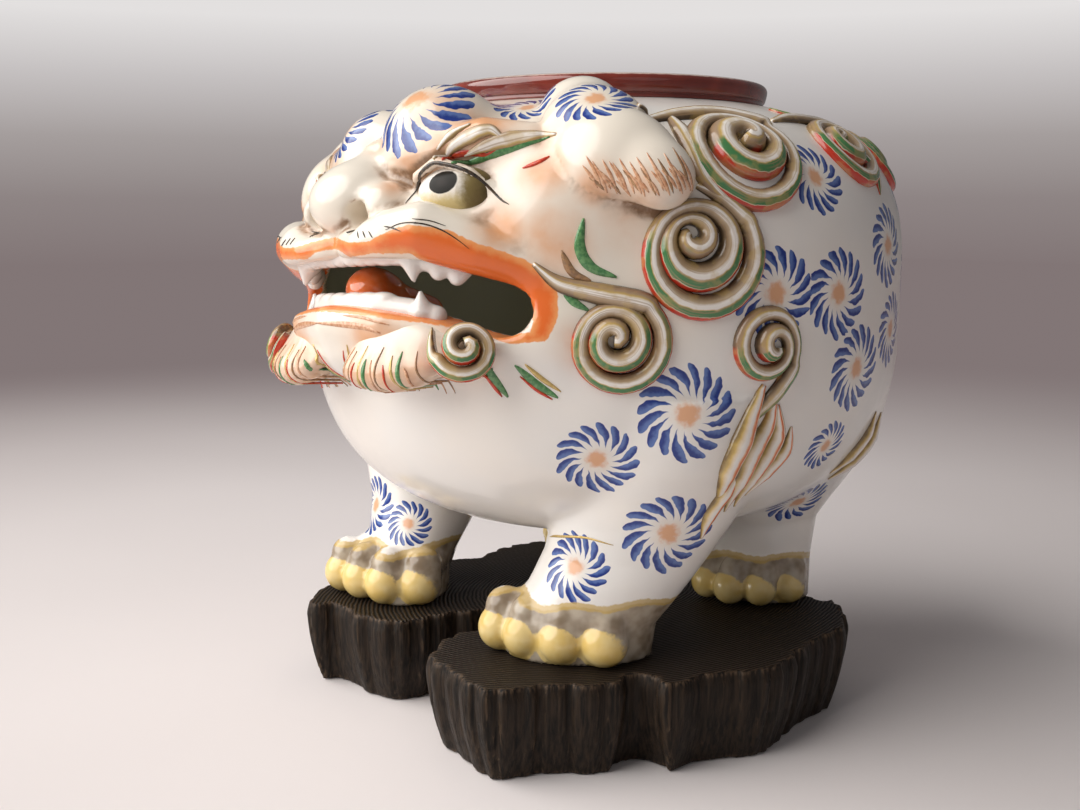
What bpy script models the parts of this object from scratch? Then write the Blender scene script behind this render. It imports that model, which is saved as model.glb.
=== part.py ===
"""Porcelain foo dog vessel on a carved wooden stand.

Metres, +Z up. The vessel's axis is the Z axis, the stand's underside is at z = 0, and the dog looks along -Y,
so its own left side is +X. The body is a thrown, hollow pot. Every other piece of clay was formed on its own and
stuck to the pot with slip before firing, so each one is a separate solid that keeps a slip joint's gap to its
neighbours. The whole porcelain figure lifts straight off the stand.

Places on the figure are given by azimuth, in degrees round the pot's axis from straight ahead (0) to the dog's
left (90), and by height above the table. The face is modelled upright and then tilted about the Y axis.
"""

import math

import bmesh
import bpy
from mathutils import Matrix, Vector

# ---- driving dimensions -----------------------------------------------------------------------------------
STAND_HEIGHT = 0.0324
STAND_FLUTE_DEPTH = 0.0022
STAND_FLUTES = 44
SLIP_GAP = 0.0003
SOLE_HEIGHT = STAND_HEIGHT + SLIP_GAP

POT_RADIUS = 0.112
POT_WAIST = 0.158
POT_RISE = 0.066
POT_DROP = 0.092
POT_POWER = 3.0
POT_WALL = 0.006
POT_STEPS = 40
POT_RINGS = 6
NECK_RADIUS = 0.0615
MOUTH_RADIUS = 0.0540

RIM_HEIGHT = 0.2285
RIM_FLARE = 0.0022

FACE_TILT = math.radians(3.5)
FACE_PIVOT = Vector((0.0, 0.0, 0.170))

EYE_X, EYE_Y, EYE_Z = 0.0405, -0.1005, 0.1872
EYE_RADII = (0.0105, 0.0095, 0.0090)

LEG_VOXEL = 0.003
EAR_VOXEL = 0.0026
BROW_VOXEL = 0.0022
HAIR_VOXEL = 0.0018
SMALL_CURL_VOXEL = 0.0014
TOOTH_VOXEL = 0.0013

# ---- colours: (red, green, blue), roughness ---------------------------------------------------------------
WHITE_GLAZE = ((0.86, 0.84, 0.81), 0.12)
RED_GLAZE = ((0.28, 0.045, 0.02), 0.18)
ORANGE_ENAMEL = ((0.80, 0.20, 0.05), 0.2)
GREEN_ENAMEL = ((0.16, 0.32, 0.14), 0.2)
BUFF_GLAZE = ((0.76, 0.60, 0.44), 0.16)
GOLD_ENAMEL = ((0.62, 0.45, 0.16), 0.3)
DARK_WOOD = ((0.030, 0.022, 0.017), 0.55)


# ---- scene and material helpers ---------------------------------------------------------------------------
def clear_scene():
    for obj in list(bpy.data.objects):
        bpy.data.objects.remove(obj)


def make_collection(name, hidden=False):
    collection = bpy.data.collections.new(name)
    collection.hide_render = hidden
    bpy.context.scene.collection.children.link(collection)
    return collection


def make_material(name, finish):
    colour, roughness = finish
    material = bpy.data.materials.new(name)
    material.use_nodes = True
    shader = material.node_tree.nodes["Principled BSDF"]
    shader.inputs["Base Color"].default_value = (*colour, 1.0)
    shader.inputs["Roughness"].default_value = roughness
    return material


def mesh_object(name, shape, collection):
    """An object made from a bmesh, which is freed."""
    mesh = bpy.data.meshes.new(name)
    shape.to_mesh(mesh)
    shape.free()
    obj = bpy.data.objects.new(name, mesh)
    collection.objects.link(obj)
    return obj


def apply_modifiers(obj):
    """Replaces the object's mesh with its evaluated one."""
    bpy.context.view_layer.update()
    graph = bpy.context.evaluated_depsgraph_get()
    mesh = bpy.data.meshes.new_from_object(obj.evaluated_get(graph))
    obj.modifiers.clear()
    obj.data = mesh
    return obj


def keep_largest_body(obj):
    """Drops the crumbs that a cut leaves behind."""
    shape = bmesh.new()
    shape.from_mesh(obj.data)
    bmesh.ops.remove_doubles(shape, verts=shape.verts, dist=1e-6)
    unseen, bodies = set(shape.verts), []
    while unseen:
        body, edge_of_search = set(), [unseen.pop()]
        while edge_of_search:
            vert = edge_of_search.pop()
            body.add(vert)
            for edge in vert.link_edges:
                other = edge.other_vert(vert)
                if other in unseen:
                    unseen.discard(other)
                    edge_of_search.append(other)
        bodies.append(body)
    bodies.sort(key=len)
    crumbs = [vert for body in bodies[:-1] for vert in body]
    bmesh.ops.delete(shape, geom=crumbs, context="VERTS")
    shape.to_mesh(obj.data)
    shape.free()


def boolean(obj, other, operation):
    modifier = obj.modifiers.new("boolean", "BOOLEAN")
    modifier.operation = operation
    modifier.object = other
    modifier.solver = "EXACT"
    apply_modifiers(obj)


def grown(obj, gap):
    """A helper copy of the object, its surface moved out by the gap."""
    copy = bpy.data.objects.new(obj.name + "_clearance", obj.data.copy())
    HELPERS.objects.link(copy)
    copy.hide_render = True
    copy.display_type = "WIRE"
    displace = copy.modifiers.new("displace", "DISPLACE")
    displace.mid_level = 0.0
    displace.strength = gap
    return apply_modifiers(copy)


# ---- shape helpers ----------------------------------------------------------------------------------------
def add_ellipsoid(shape, centre, radii, turn=None, segments=20, rings=12):
    """An ellipsoid in the bmesh. Turn is a rotation matrix about its own centre."""
    matrix = Matrix.Translation(centre) @ (turn or Matrix.Identity(4)) @ Matrix.Diagonal((*radii, 1.0))
    bmesh.ops.create_uvsphere(shape, u_segments=segments, v_segments=rings, radius=1.0, matrix=matrix)


def pot_radius(height):
    reach = POT_RISE if height > POT_WAIST else POT_DROP
    share = min(abs(height - POT_WAIST) / reach, 1.0)
    return POT_RADIUS * (1.0 - share**POT_POWER) ** (1.0 / POT_POWER)


def around(azimuth, radius, height):
    """The point at this radius from the pot's axis."""
    angle = math.radians(azimuth)
    return Vector((radius * math.sin(angle), -radius * math.cos(angle), height))


def pot_normal(azimuth, height):
    step = 0.0005
    slope = (pot_radius(height - step) - pot_radius(height + step)) / (2 * step)
    return around(azimuth, 1.0, slope).normalized()


def on_pot(azimuth, height, lift=0.0):
    """A point on the pot's outer surface, lifted along the surface's normal."""
    return around(azimuth, pot_radius(height), height) + pot_normal(azimuth, height) * lift


def facing(azimuth, height):
    """The rotation that lays a shape's XY plane on the pot there, with its +Y up the pot."""
    out = pot_normal(azimuth, height)
    side = Vector((0.0, 0.0, 1.0)).cross(out).normalized()
    up = out.cross(side)
    return Matrix((side, up, out)).transposed().to_4x4()


def turned(name, profile, steps, collection):
    """A closed turned shape from (radius, height) points that run down its outer side."""
    shape = bmesh.new()
    verts = [shape.verts.new((radius, 0.0, height)) for radius, height in profile]
    for first, second in zip(verts, verts[1:]):
        shape.edges.new((first, second))
    if profile[0][0] > 0.0:
        shape.edges.new((verts[-1], verts[0]))
    obj = mesh_object(name, shape, collection)
    screw = obj.modifiers.new("screw", "SCREW")
    screw.steps = screw.render_steps = steps
    screw.use_merge_vertices = True
    screw.merge_threshold = 1e-5
    screw.use_smooth_shade = False
    return apply_modifiers(obj)


def tilt_face(shape):
    bmesh.ops.rotate(shape, verts=shape.verts, cent=FACE_PIVOT, matrix=Matrix.Rotation(-FACE_TILT, 3, "Y"))


def blended(name, blobs, triangles, collection, voxel, smoothing, tilt=False):
    """One soft body from overlapping (centre, radii, turn) ellipsoids."""
    shape = bmesh.new()
    for centre, radii, *turn in blobs:
        add_ellipsoid(shape, centre, radii, turn[0] if turn else None)
    if tilt:
        tilt_face(shape)
    obj = mesh_object(name, shape, collection)
    remesh = obj.modifiers.new("remesh", "REMESH")
    remesh.mode = "VOXEL"
    remesh.voxel_size = voxel
    smooth = obj.modifiers.new("smooth", "SMOOTH")
    smooth.iterations = smoothing
    apply_modifiers(obj)
    decimate = obj.modifiers.new("decimate", "DECIMATE")
    decimate.ratio = min(1.0, triangles / (2 * len(obj.data.polygons)))
    return apply_modifiers(obj)


def twins(blobs):
    """The blobs' mirror images across the dog's middle plane."""
    flip = Matrix.Diagonal((-1.0, 1.0, 1.0, 1.0))
    images = []
    for centre, radii, *turn in blobs:
        images.append((flip @ Vector(centre), radii, *[flip @ one @ flip for one in turn]))
    return images


def mm(*points):
    """Blobs given in millimetres as (x, y, z, radius) or (x, y, z, radius, radius, radius)."""
    blobs = []
    for x, y, z, *radii in points:
        radii = radii if len(radii) == 3 else radii * 3
        blobs.append((Vector((x, y, z)) / 1000, [radius / 1000 for radius in radii]))
    return blobs


def chain(blobs, steps):
    """The blobs, with more between each and the next, so that the run reads as one thick stroke."""
    run = []
    for (start, first), (end, last) in zip(blobs, blobs[1:]):
        for step in range(steps):
            share = step / steps
            run.append((start.lerp(end, share), [a + (b - a) * share for a, b in zip(first, last)]))
    return run + [blobs[-1]]


def smooth_loop(points, samples):
    """A closed Catmull-Rom curve through the plan points."""
    loop, count = [], len(points)
    for index in range(count):
        p0, p1, p2, p3 = (Vector(points[(index + offset) % count]) for offset in (-1, 0, 1, 2))
        for step in range(samples):
            t = step / samples
            bend = (2 * p0 - 5 * p1 + 4 * p2 - p3) * t**2 + (3 * p1 - p0 - 3 * p2 + p3) * t**3
            loop.append(0.5 * (2 * p1 + (p2 - p0) * t + bend))
    return loop


# ---- fitting pieces together ------------------------------------------------------------------------------
class Assembly:
    """Cuts each new piece clear of the ones already in place."""

    def __init__(self):
        self.clearances = {}

    def fit(self, obj, neighbours, material):
        """Cuts the piece with its neighbours' clearances, and stores its own from its uncut shape."""
        own = grown(obj, SLIP_GAP)
        for name in neighbours:
            boolean(obj, self.clearances[name], "DIFFERENCE")
        keep_largest_body(obj)
        self.clearances[obj.name] = own
        obj.data.materials.clear()
        obj.data.materials.append(material)
        return obj


# ---- the stand --------------------------------------------------------------------------------------------
def build_stand():
    """A slab of wood, sawn to a lobed outline with a notch between the forefeet, its edge cut into flutes."""
    outline = [
        (-0.003, -0.054), (-0.014, -0.078), (-0.026, -0.093), (-0.052, -0.098), (-0.072, -0.092),
        (-0.080, -0.066), (-0.078, -0.034), (-0.069, -0.011), (-0.076, 0.008), (-0.072, 0.036),
        (-0.052, 0.058), (-0.022, 0.062), (0.010, 0.052), (0.040, 0.064), (0.070, 0.062), (0.092, 0.040),
        (0.103, 0.008), (0.104, -0.026), (0.094, -0.052), (0.079, -0.056), (0.078, -0.080),
        (0.058, -0.102), (0.030, -0.104), (0.009, -0.091), (0.006, -0.068),
    ]
    loop = smooth_loop(outline, 8)
    centre = Vector((0.012, -0.022))
    curve = bpy.data.curves.new("stand_outline", "CURVE")
    curve.dimensions = "2D"
    curve.fill_mode = "BOTH"
    curve.extrude = STAND_HEIGHT / 2
    spline = curve.splines.new("POLY")
    spline.points.add(len(loop) - 1)
    spline.use_cyclic_u = True
    for index, (point, spot) in enumerate(zip(loop, spline.points)):
        phase = index / len(loop) * STAND_FLUTES * math.pi
        groove = STAND_FLUTE_DEPTH * (1.0 - abs(math.sin(phase)))
        inward = (centre - point).normalized() * groove
        spot.co = (*(point + inward), 0.0, 1.0)
    obj = bpy.data.objects.new("wood_stand", curve)
    STATUE.objects.link(obj)
    obj.location.z = STAND_HEIGHT / 2
    curve.materials.append(make_material("dark_wood", DARK_WOOD))
    return obj


# ---- the pot and its rim ----------------------------------------------------------------------------------
def pot_outside(grow, top_radius, steps):
    """(radius, height) points from the neck down the outside to the axis."""
    neck = POT_WAIST + POT_RISE * (1.0 - (top_radius / POT_RADIUS) ** POT_POWER) ** (1.0 / POT_POWER)
    points = [(top_radius, neck + grow)]
    for step in range(1, steps):
        height = POT_WAIST + (neck - POT_WAIST) * math.cos((step / steps) ** 0.8 * math.pi / 2)
        points.append((pot_radius(height) + grow, height))
    for step in range(steps + 2):
        height = POT_WAIST - POT_DROP * math.sin(step / (steps + 2) * math.pi / 2)
        points.append((pot_radius(height) + grow, height))
    return points + [(0.0, POT_WAIST - POT_DROP - grow)]


def build_pot(assembly, glaze):
    """The hollow pot, open at the neck, with the dog's mouth cut through its wall."""
    outside = pot_outside(0.0, NECK_RADIUS, POT_RINGS)
    inside = pot_outside(-POT_WALL, MOUTH_RADIUS, POT_RINGS - 1)
    inside[0] = (MOUTH_RADIUS, outside[0][1])
    inside[-1] = (0.0, POT_WAIST - POT_DROP + POT_WALL)
    pot = turned("pot_body", inside[::-1] + outside, POT_STEPS, STATUE)
    boolean(pot, assembly.mouth, "DIFFERENCE")
    pot.data.materials.append(glaze)
    solid = [(0.0, outside[0][1] + SLIP_GAP)] + pot_outside(SLIP_GAP, NECK_RADIUS, POT_RINGS)
    assembly.clearances["pot_body"] = turned("pot_clearance", solid, POT_STEPS, HELPERS)
    return outside[0][1]


def build_rim(neck, glaze):
    """The red collar round the vessel's open mouth, standing on the neck."""
    base = neck + SLIP_GAP
    profile = [
        (MOUTH_RADIUS, base), (MOUTH_RADIUS, RIM_HEIGHT - 0.0006), (MOUTH_RADIUS + 0.0006, RIM_HEIGHT),
        (NECK_RADIUS - 0.0006, RIM_HEIGHT), (NECK_RADIUS, RIM_HEIGHT - 0.0006), (NECK_RADIUS, RIM_HEIGHT - RIM_FLARE),
        (NECK_RADIUS - 0.0012, base + 0.002), (NECK_RADIUS - 0.0002, base),
    ]
    turned("rim_collar", profile, 44, STATUE).data.materials.append(glaze)


# ---- the head ---------------------------------------------------------------------------------------------
def mouth_prism(name, inset):
    """The open mouth's outline, seen from the front, run back through the muzzle and the pot's wall."""
    right = [
        (0.000, 0.1660), (0.018, 0.1655), (0.034, 0.1645), (0.044, 0.1610), (0.053, 0.1580), (0.060, 0.1555),
        (0.064, 0.1500), (0.062, 0.1440), (0.055, 0.1415), (0.043, 0.1447), (0.029, 0.1490), (0.015, 0.1510),
        (0.000, 0.1520),
    ]
    outline = right + [(-x, z) for x, z in right[-2:0:-1]]
    front, back = -0.150, -0.060
    curve = bpy.data.curves.new(name, "CURVE")
    curve.dimensions = "2D"
    curve.fill_mode = "BOTH"
    curve.extrude = (back - front) / 2
    spline = curve.splines.new("POLY")
    spline.points.add(len(outline) - 1)
    spline.use_cyclic_u = True
    for index, spot in enumerate(spline.points):
        along = (Vector(outline[(index + 1) % len(outline)]) - Vector(outline[index - 1])).normalized()
        spot.co = (*(Vector(outline[index]) + Vector((along.y, -along.x)) * inset), 0.0, 1.0)
    drawn = bpy.data.objects.new(name + "_outline", curve)
    shape = bmesh.new()
    shape.from_mesh(bpy.data.meshes.new_from_object(drawn))
    bpy.data.objects.remove(drawn)
    bmesh.ops.remove_doubles(shape, verts=shape.verts, dist=1e-6)
    upright = Matrix.Translation((0.0, (front + back) / 2, 0.0)) @ Matrix.Rotation(math.pi / 2, 4, "X")
    bmesh.ops.transform(shape, matrix=upright, verts=shape.verts)
    bmesh.ops.recalc_face_normals(shape, faces=shape.faces)
    tilt_face(shape)
    return mesh_object(name, shape, HELPERS)


def build_head(assembly, glaze):
    """Eyes, muzzle with nose and brow lumps, lower jaw, teeth and tongue."""
    for side, sign in (("left", 1), ("right", -1)):
        shape = bmesh.new()
        add_ellipsoid(shape, Vector((EYE_X * sign, EYE_Y, EYE_Z)), EYE_RADII, None, 16, 10)
        tilt_face(shape)
        assembly.fit(mesh_object(f"eyeball_{side}", shape, STATUE), ["pot_body"], glaze)

    half = chain(mm((13, -106, 177, 15), (30, -104, 174, 14, 14, 10), (46, -93, 172, 11, 11, 9)), 3)
    half += chain(mm((46, -93, 172, 11, 11, 9), (62, -82, 161, 10, 12, 9)), 3)
    half += mm((69, -76, 150, 7, 12, 9), (12, -113, 183, 8, 8, 8), (15, -90, 207, 17, 17, 16))
    half += mm((44, -94, 200, 16, 14, 9), (38, -98, 176, 15, 12, 8), (58, -84, 181, 12, 14, 9))
    half += mm((24, -100, 191, 12, 11, 12), (60, -80, 170, 16, 20, 16), (52, -84, 196, 14, 14, 14))
    half += mm((26, -98, 203, 12, 12, 11))
    middle = mm((0, -113, 185, 13, 14, 12), (0, -104, 178, 16, 17, 9), (0, -100, 198, 14, 12, 12))
    middle += mm((0, -86, 208, 14, 15, 12))
    face = blended("face_mask", half + twins(half) + middle, 1150, STATUE, LEG_VOXEL, 3, True)
    assembly.fit(face, ["pot_body", "eyeball_left", "eyeball_right"], glaze)
    boolean(face, assembly.mouth, "DIFFERENCE")
    keep_largest_body(face)

    half = chain(mm((0, -115, 143, 13, 15, 12), (22, -110, 142, 13, 13, 11), (42, -98, 140, 12, 12, 10)), 3)
    half += chain(mm((42, -98, 140, 12, 12, 10), (60, -84, 141, 10, 11, 9)), 3)
    jaw = blended("lower_jaw", half + twins(half), 600, STATUE, LEG_VOXEL, 3, True)
    assembly.fit(jaw, ["pot_body", "face_mask"], glaze)
    boolean(jaw, assembly.mouth, "DIFFERENCE")
    keep_largest_body(jaw)

    arch = [(13 * step, -math.sqrt(114.0**2 - (13.0 * step) ** 2)) for step in range(4)]
    upper = chain(mm(*[(x, y, 165, 3.6, 4.2, 4.2) for x, y in arch]), 4)
    upper += chain(mm((37.5, -109, 165, 4.5), (38, -111, 157.5, 1.5)), 4)
    upper += chain(mm((44, -104, 163, 3.6), (46, -103, 158.5, 1.3)), 3)
    fit_in_mouth(assembly, "upper_teeth", upper + twins(upper), 400, glaze)
    arch = [(11 * step, -math.sqrt(118.0**2 - (11.0 * step) ** 2)) for step in range(4)]
    lower = chain(mm(*[(x, y, 150.5 - 0.03 * x, 3.2, 3.6, 3.0) for x, y in arch]), 4)
    lower += chain(mm((34, -113, 148, 4.2), (34, -113, 155.5, 1.4)), 4)
    fit_in_mouth(assembly, "lower_teeth", lower + twins(lower), 380, glaze)
    tongue = chain(mm((0, -104, 156, 8.5, 7, 6.5), (0, -92, 152, 9, 8, 6), (0, -78, 151, 10, 8, 5)), 4)
    fit_in_mouth(assembly, "tongue", tongue, 260, make_material("orange_enamel", ORANGE_ENAMEL))


def fit_in_mouth(assembly, name, blobs, triangles, material):
    """A piece that stands inside the open mouth, stopped a slip joint short of the mouth's walls."""
    obj = blended(name, blobs, triangles, STATUE, TOOTH_VOXEL, 2, True)
    boolean(obj, assembly.mouth_room, "INTERSECT")
    keep_largest_body(obj)
    obj.data.materials.append(material)


def build_brows_and_ears(assembly, glaze, ear_glaze):
    brow = chain(mm((18, -107, 199, 5), (31, -103, 202, 6, 6, 5.5), (45, -95, 203, 6.5, 6.5, 5.5)), 4)
    brow += chain(mm((45, -95, 203, 6.5, 6.5, 5.5), (57, -86, 200, 4)), 4)
    ear = chain(mm((50, -52, 210, 8, 8, 8), (62, -66, 208, 15, 15, 10), (80, -72, 201, 14, 16, 11)), 4)
    ear += chain(mm((80, -72, 201, 14, 16, 11), (94, -66, 190, 9, 12, 9), (101, -60, 182, 5, 7, 5)), 4)
    for side in ("left", "right"):
        brow_blobs, ear_blobs = (brow, ear) if side == "left" else (twins(brow), twins(ear))
        ear_piece = blended(f"ear_{side}", ear_blobs, 420, STATUE, EAR_VOXEL, 3, True)
        assembly.fit(ear_piece, ["pot_body", "face_mask", f"eyeball_{side}"], ear_glaze)
        brow_piece = blended(f"brow_{side}", brow_blobs, 260, STATUE, BROW_VOXEL, 2, True)
        assembly.fit(brow_piece, ["pot_body", "face_mask", f"ear_{side}", f"eyeball_{side}"], glaze)


# ---- the legs: (height, x, y, half length, half width) ovals and toe places, in mm ---------------
FORELEG = [
    (44, 50, -58, 26, 17), (60, 55.4, -47.5, 27.5, 21), (80, 61.5, -39.5, 31, 25), (100, 67, -36, 34, 32),
    (125, 70, -36, 34, 35),
]
HINDLEG = [
    (42, 46, 44, 19, 19), (65, 47, 44.5, 20.5, 21), (80, 50, 45, 23, 23), (97, 54, 44, 27, 27),
    (125, 58, 42, 33, 34),
]
LEFT_FORE_TOES = [(29, -74), (41, -73), (53.5, -68), (65, -59.5)]
RIGHT_FORE_TOES = [(-64, -78), (-50.5, -76), (-39, -69), (-31, -58)]
HIND_TOES = [(38, 24), (49, 24), (58, 31), (63, 42)]
LEG_STEPS = 5
LEG_SLICE = 0.012
LEG_BEARING = math.radians(45)


def leg_blobs(knots):
    """A leg through its ovals, each of which is long from the front inner side to the rear outer one."""
    turn = Matrix.Rotation(LEG_BEARING, 4, "Z")
    run = []
    for start, end in zip(knots, knots[1:]):
        for step in range(LEG_STEPS):
            height, x, y, length, width = (a + (b - a) * step / LEG_STEPS for a, b in zip(start, end))
            run.append((Vector((x, y, height)) / 1000, (length / 1000, width / 1000, LEG_SLICE), turn))
    return run


def build_legs(assembly, glaze):
    """Two forelegs and two hind legs. Each has a paw with its toes, flat underneath."""
    fore = leg_blobs(FORELEG) + mm((48.5, -60, 42, 21.5, 17, 11))
    hind = leg_blobs(HINDLEG) + mm((47, 42, 41, 19.5, 17, 10.5))
    hind += mm(*[(x, y, 41.5, 6.8, 8, 9.5) for x, y in HIND_TOES])
    floor = bmesh.new()
    block = Matrix.Translation((0, 0, SOLE_HEIGHT - 0.05)) @ Matrix.Diagonal((0.5, 0.5, 0.1, 1))
    bmesh.ops.create_cube(floor, size=1.0, matrix=block)
    assembly.clearances["table_of_stand"] = mesh_object("stand_clearance", floor, HELPERS)
    for side, toes in (("left", LEFT_FORE_TOES), ("right", RIGHT_FORE_TOES)):
        front, rear = (fore, hind) if side == "left" else (twins(fore), twins(hind))
        front = front + mm(*[(x, y, 42, 7.8, 8.6, 10.5) for x, y in toes])
        leg = blended(f"foreleg_{side}", front, 640, STATUE, LEG_VOXEL, 3)
        assembly.fit(leg, ["pot_body", "table_of_stand", "lower_jaw"], glaze)
        leg = blended(f"hindleg_{side}", rear, 560, STATUE, LEG_VOXEL, 3)
        assembly.fit(leg, ["pot_body", "table_of_stand", f"foreleg_{side}"], glaze)


# ---- the mane and the tufts -------------------------------------------------------------------------------
def curl_blobs(azimuth, height, width, hand, lift):
    """A lock of mane wound into a flat spiral on the pot: a low boss with a rope laid round it."""
    frame = Matrix.Translation(on_pot(azimuth, height, lift)) @ facing(azimuth, height)
    turn = facing(azimuth, height)
    radius = width / 2
    blobs = [(frame.to_translation(), (radius * 0.88, radius * 0.88, 0.0045), turn)]
    steps, turns = 26, 1.6
    for step in range(steps):
        share = step / (steps - 1)
        angle = hand * 2 * math.pi * turns * share + math.pi / 2
        reach = radius * (0.80 - 0.72 * share)
        rope = 0.0040 - 0.0012 * share
        centre = frame @ Vector((reach * math.cos(angle), reach * math.sin(angle), 0.0035))
        blobs.append((centre, (rope, rope, 0.0034), turn))
    return blobs


def build_mane(assembly, glaze):
    curls = [
        # name, azimuth, height, width, hand, lift, pieces that it lies against
        ("mane_upper", 70.0, 0.2035, 0.041, 1, 0.0045, ["ear"]),
        ("mane_middle", 60.0, 0.1680, 0.037, 1, 0.0050, ["ear", "mane_upper"]),
        ("mane_lower", 48.0, 0.1425, 0.029, -1, 0.0055, ["mane_middle", "foreleg"]),
        ("mane_rear", 92.0, 0.2025, 0.034, 1, 0.0035, ["mane_upper"]),
        ("shoulder_curl", 73.0, 0.1400, 0.025, -1, 0.0040, ["foreleg", "mane_middle", "hindleg"]),
    ]
    for name, azimuth, height, width, hand, lift, neighbours in curls:
        for side, sign in (("left", 1), ("right", -1)):
            blobs = curl_blobs(azimuth * sign, height, width, hand * sign, lift)
            piece = blended(f"{name}_{side}", blobs, 330, STATUE, HAIR_VOXEL, 2)
            others = [f"{other}_{side}" for other in neighbours]
            assembly.fit(piece, ["pot_body", "face_mask", "lower_jaw"] + others, glaze)


def lock(points, thickness):
    """A lock of hair that runs down over the pot: (azimuth, height, lift, half width) points."""
    run = []
    for (az1, h1, l1, w1), (az2, h2, l2, w2) in zip(points, points[1:]):
        for step in range(5):
            share = step / 4
            azimuth, height = az1 + (az2 - az1) * share, h1 + (h2 - h1) * share
            width = w1 + (w2 - w1) * share
            centre = on_pot(azimuth, height, l1 + (l2 - l1) * share)
            run.append((centre, (width, width, thickness), facing(azimuth, height)))
    return run


def build_tufts(assembly, glaze):
    """The beard under the jaw, and the flame-shaped tufts behind the legs."""
    fringe = []
    for step in range(-3, 4):
        azimuth = step * 5.5
        drop = 0.004 * math.cos(math.radians(step * 30))
        fringe += chain([(around(azimuth, 0.124, 0.137), (0.006, 0.005, 0.006)),
                         (around(azimuth, 0.128, 0.127 - drop), (0.0035, 0.003, 0.005))], 4)
    beard = blended("beard_fringe", fringe, 330, STATUE, HAIR_VOXEL, 2, True)
    assembly.fit(beard, ["pot_body", "lower_jaw", "foreleg_left", "foreleg_right"], glaze)
    for side, sign in (("left", 1), ("right", -1)):
        curl = curl_blobs(24.0 * sign, 0.1340, 0.019, -sign, 0.0170)
        piece = blended(f"beard_curl_{side}", curl, 230, STATUE, SMALL_CURL_VOXEL, 2)
        assembly.fit(piece, ["pot_body", "lower_jaw", "beard_fringe", f"foreleg_{side}"], glaze)
        flame = chain(mm((111, -14, 127, 5, 6, 8), (107, -10, 113, 6, 7, 10), (98, -6, 97, 6, 6, 10)), 4)
        flame += chain(mm((98, -6, 97, 6, 6, 10), (89, -11, 80, 4, 4, 6)), 4)
        flame = flame if sign > 0 else twins(flame)
        piece = blended(f"foreleg_tuft_{side}", flame, 320, STATUE, HAIR_VOXEL, 2)
        assembly.fit(piece, ["pot_body", f"foreleg_{side}", f"hindleg_{side}", f"shoulder_curl_{side}"], glaze)
        flame = chain(mm((84, 70, 120, 5, 6, 7), (82, 78, 106, 6, 6, 9), (76, 78, 92, 4, 5, 8)), 4)
        flame = flame if sign > 0 else twins(flame)
        piece = blended(f"hindleg_tuft_{side}", flame, 260, STATUE, HAIR_VOXEL, 2)
        assembly.fit(piece, ["pot_body", f"hindleg_{side}"], glaze)
    places = [(180, 0.118, 0.004, 0.010), (180, 0.145, 0.007, 0.015), (180, 0.172, 0.007, 0.013)]
    tail = lock(places + [(180, 0.193, 0.004, 0.006)], 0.009)
    piece = blended("tail", tail + curl_blobs(180, 0.152, 0.026, 1, 0.0145), 380, STATUE, HAIR_VOXEL, 2)
    assembly.fit(piece, ["pot_body", "hindleg_left", "hindleg_right"], glaze)


def build():
    assembly = Assembly()
    assembly.mouth = mouth_prism("mouth_cutter", 0.0)
    assembly.mouth_room = mouth_prism("mouth_room", SLIP_GAP * 1.3)
    white = make_material("white_glaze", WHITE_GLAZE)
    striped = make_material("green_enamel", GREEN_ENAMEL)
    buff = make_material("buff_glaze", BUFF_GLAZE)
    build_stand()
    neck = build_pot(assembly, white)
    build_rim(neck, make_material("red_glaze", RED_GLAZE))
    build_head(assembly, white)
    build_brows_and_ears(assembly, buff, white)
    build_legs(assembly, white)
    build_mane(assembly, striped)
    build_tufts(assembly, make_material("gold_enamel", GOLD_ENAMEL))
    for helper in HELPERS.objects:
        helper.hide_render = True
        helper.display_type = "WIRE"


clear_scene()
STATUE = make_collection("foo_dog_vessel")
HELPERS = make_collection("clearances", hidden=True)
build()
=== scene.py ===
"""The looks of a painted porcelain foo dog vessel on its scorched wooden stand.

Lengths here are millimetres in the frame's own axes: +Z up, the dog looking along -Y, its left side +X.
The porcelain is sculpted as a signed distance field, which is then meshed. The painting follows in closed
strokes of enamel and in procedural glaze materials. Places on the figure are azimuths, in degrees round the
pot's axis from straight ahead to the dog's left, and heights.
"""

import math

import bmesh
import bpy
import numpy as np
from mathutils import Matrix, Vector


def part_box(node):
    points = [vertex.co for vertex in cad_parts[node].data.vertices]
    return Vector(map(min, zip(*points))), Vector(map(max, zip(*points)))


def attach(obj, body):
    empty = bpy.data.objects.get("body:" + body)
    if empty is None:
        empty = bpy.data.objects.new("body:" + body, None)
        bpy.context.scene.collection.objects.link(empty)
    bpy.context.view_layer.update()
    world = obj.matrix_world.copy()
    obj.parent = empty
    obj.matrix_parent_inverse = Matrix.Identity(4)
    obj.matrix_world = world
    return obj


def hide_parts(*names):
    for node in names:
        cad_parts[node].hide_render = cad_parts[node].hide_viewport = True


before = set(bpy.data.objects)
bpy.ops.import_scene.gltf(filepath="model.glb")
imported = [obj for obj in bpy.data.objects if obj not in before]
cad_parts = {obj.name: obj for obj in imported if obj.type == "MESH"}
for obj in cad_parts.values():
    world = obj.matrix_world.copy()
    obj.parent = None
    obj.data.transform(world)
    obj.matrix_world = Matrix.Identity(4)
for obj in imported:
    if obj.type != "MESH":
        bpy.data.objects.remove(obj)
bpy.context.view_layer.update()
MM = 0.001

# ---- measures taken from the frame -----------------------------------------------------------------------


def box_mm(node):
    low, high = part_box(node)
    return np.array(low) / MM, np.array(high) / MM


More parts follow.
